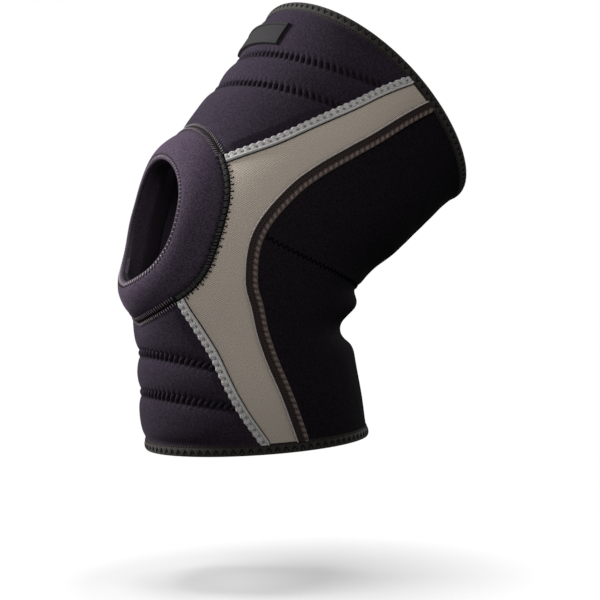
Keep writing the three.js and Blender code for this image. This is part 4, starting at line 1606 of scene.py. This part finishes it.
@dataclass
class Label:
    """The blank rubber label on the front of the thigh panel, with a raised frame."""

    width: float = 54.0
    height: float = 13.5
    thickness: float = 1.4
    frame_width: float = 1.6
    sunk: float = 0.6
    station: float = 9.26

    def build(self) -> None:
        """Makes the label."""
        around, up, _ = FORM.frame(np.array([[0.0, self.station]]))
        turn = self.width / 2 / float(np.linalg.norm(around))
        lift = self.height / float(np.linalg.norm(up))
        profile = Profile.of(np.linspace(0, 1, 150), np.linspace(0, 1, 30))

        def place(u: Array, inner: Array, v: Array) -> Cloth:
            """Lays the label on the puffed cloth."""
            angle = mix(-turn, turn, u)
            places = np.column_stack((angle, self.station + (v - 0.5) * lift))
            seams = (THIGH_QUILTS[-1].at(angle), FORM.hem_station(angle, End.UPPER, EDGE))
            quilt, top = (FORM.apart(places, np.column_stack((angle, seam))) for seam in seams)
            under = puff(np.minimum(quilt, top)) + LAY_GAP
            reach = np.minimum(np.minimum(u, 1 - u) * self.width, np.minimum(v, 1 - v) * self.height)
            edge = 0.45 * (1 - smooth(reach, 0, 0.35))
            inside = self.sunk * smooth(reach, self.frame_width - 0.35, self.frame_width)
            # Painted shade along the label's outer edge and in a line just inside its raised frame.
            shade = 0.75 * (1 - smooth(reach, 0.05, 0.5)) + 0.6 * hump(reach - self.frame_width, 0.25)
            level = under + self.thickness - edge - inside
            return Cloth.wall(places, inner, level, under - 0.5, (u * self.width, v * self.height), shade)

        piece = woven("label_plate", profile, np.linspace(0, 1, 70), place, sharp=60)
        dress(piece, LABEL_RUBBER, "label_rubber", "label")


@dataclass
class Studio:
    """The camera at the photograph's angle, the soft lights and the pale floor."""

    azimuth: float = 66.0
    elevation: float = 1.0
    distance: float = 0.85
    target: tuple[float, float, float] = (0.0, 0.0325, -0.035)
    view_width: float = 0.324
    floor_height: float = -0.185
    floor_glow: float = 0.42

    def aim(
        self, thing: bpy.types.Object, azimuth: float, elevation: float, distance: float, lift: float = 0.0
    ) -> None:
        """Stands a camera or a lamp round the target and faces it, then lifts it."""
        a, e = math.radians(azimuth), math.radians(elevation)
        back = Vector((math.sin(a) * math.cos(e), -math.cos(a) * math.cos(e), math.sin(e)))
        thing.location = Vector(self.target) + back * distance + Vector((0, 0, lift))
        thing.rotation_euler = (-back).to_track_quat("-Z", "Y").to_euler()

    def camera(self) -> None:
        """Makes the camera."""
        data = bpy.data.cameras.new("camera")
        data.lens = data.sensor_width * self.distance / self.view_width
        data.clip_start, data.clip_end = 0.01, 20
        camera = linked("camera", data)
        self.aim(camera, self.azimuth, self.elevation, self.distance)
        bpy.context.scene.camera = camera

    def light(
        self, name: str, azimuth: float, elevation: float, distance: float, size: float, power: float,
        cone: float | None = None, lift: float = 0.0,
    ) -> bpy.types.Object:
        """Makes a soft light that faces the sleeve: a square one, or a spot whose cone fades outwards."""
        data = bpy.data.lights.new(name, "SPOT" if cone else "AREA")
        data.energy = power
        if cone:
            data.spot_size, data.spot_blend, data.shadow_soft_size = math.radians(cone), 1.0, size / 2
        else:
            data.size = size
        lamp = linked(name, data)
        self.aim(lamp, azimuth, elevation, distance, lift)
        return lamp

    def floor(self) -> bpy.types.Object:
        """Makes a pale floor that fades out into the white around it and throws no light back."""
        middle = (self.target[0], self.target[1], self.floor_height)
        disc = bmesh.new()
        bmesh.ops.create_circle(disc, cap_ends=True, segments=96, radius=1.5)
        bmesh.ops.translate(disc, verts=disc.verts, vec=middle)
        mesh = bpy.data.meshes.new("floor")
        disc.to_mesh(mesh)
        disc.free()
        floor = linked("floor", mesh)
        material, shader, paint = painted("pale_floor")
        away = shader.node("ShaderNodeVectorMath", operation="DISTANCE")
        shader.fill(away, {0: shader.place(), 1: middle})
        fade = shader.node("ShaderNodeMapRange", interpolation_type="SMOOTHSTEP", clamp=True)
        reach = {"From Min": 0.1, "From Max": 0.34, "To Min": 1.0, "To Max": 0.0}
        shader.fill(fade, {"Value": away.outputs["Value"], **reach})
        shader.fill(paint, {
            "Base Color": (0.9, 0.9, 0.9, 1),
            "Roughness": 0.9,
            "Specular IOR Level": 0.0,
            "Emission Color": WHITE,
            "Emission Strength": self.floor_glow,
            "Alpha": fade.outputs[0],
        })
        mesh.materials.append(material)
        floor.visible_diffuse = floor.visible_glossy = False
        return floor

    def surroundings(self) -> None:
        """Makes the white surroundings, which light the sleeve only a little."""
        world = bpy.data.worlds.new("studio")
        bpy.context.scene.world = world
        world.use_nodes = True
        shader = Shader(world.node_tree)
        dim = shader.fill(world.node_tree.nodes["Background"], {"Color": WHITE, "Strength": 0.1})
        white = shader.fill(shader.node("ShaderNodeBackground"), {"Color": WHITE})
        seen = shader.node("ShaderNodeLightPath").outputs["Is Camera Ray"]
        pick = shader.fill(shader.node("ShaderNodeMixShader"), {0: seen, 1: dim.outputs[0], 2: white.outputs[0]})
        shader.fill(world.node_tree.nodes["World Output"], {"Surface": pick.outputs[0]})

    def share_out(self, floor: bpy.types.Object, lamps: list[bpy.types.Object], only_floor: bool) -> None:
        """Keeps lamps to the floor alone, or off the floor."""
        group = bpy.data.collections.new("lit_floor" if only_floor else "unlit_floor")
        group.objects.link(floor)
        group.collection_objects[0].light_linking.link_state = "INCLUDE" if only_floor else "EXCLUDE"
        for lamp in lamps:
            lamp.light_linking.receiver_collection = group

    def build(self) -> None:
        """Makes the whole studio."""
        self.camera()
        self.surroundings()
        floor = self.floor()
        sleeve_lamps = [
            self.light("key", -30, 30, distance=0.55, size=0.25, power=5.8, lift=0.03),
            self.light("front_fill", 62, 20, distance=0.75, size=0.35, power=17.5, cone=27.0, lift=0.05),
            self.light("back_fill", 205, 24, distance=1.1, size=0.7, power=4.5),
        ]
        self.share_out(floor, sleeve_lamps, only_floor=False)
        floor_lamp = self.light("top", 60, 88, distance=1.0, size=0.8, power=11.4)
        self.share_out(floor, [floor_lamp], only_floor=True)
        bpy.context.scene.view_settings.view_transform = "Standard"


def clearance(tape_curve: Curve) -> float:
    """Half a tape's width as a share of its curve."""
    return TAPE_WIDTH / 2 / curve_length(tape_curve)


def main() -> None:
    """Builds the studio and the sleeve's pieces in order."""
    logging.basicConfig(level=logging.INFO, format="%(name)s: %(message)s")
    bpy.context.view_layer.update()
    Studio().build()
    thigh = QuiltedPanel("front_thigh_panel", UPPER_SEAM, THIGH_QUILTS, End.UPPER, UPPER_MEET, lean=-1.25)
    shin = QuiltedPanel("front_shin_panel", LOWER_SEAM, SHIN_QUILTS, End.LOWER, LOWER_MEET, lean=1.2)
    for panel in (thigh, shin):
        panel.build()
        panel.stitches()
    ring = PatellaRing()
    ring.build()
    ring.rope()
    ring.rim()
    for side in Side:
        SidePanel(side).build()
        word = side.name.lower()
        upper_start, lower_end = clearance(UPPER_SEAM), 1 - clearance(LOWER_SEAM)
        tapes = (
            Tape(f"front_binding_upper_{word}", Binding.FRONT, UPPER_SEAM, side, first=upper_start),
            Tape(f"front_binding_lower_{word}", Binding.FRONT, LOWER_SEAM, side, last=lower_end),
            Tape(f"rear_binding_{word}", Binding.REAR, REAR_SEAM, side, pitch=3.2),
        )
        for tape in tapes:
            tape.build()
            tape.stitches()
    BackPanel("back_shin_panel", End.LOWER, 0.0, KNEE_SHARE).build()
    BackPanel("back_thigh_panel", End.UPPER, KNEE_SHARE, 1.0).build()
    knee_stitches()
    for hem in (Hem("top_hem", End.UPPER), Hem("bottom_hem", End.LOWER)):
        hem.build()
        hem.stitches()
    Label().build()


if __name__ == "__main__":
    main()
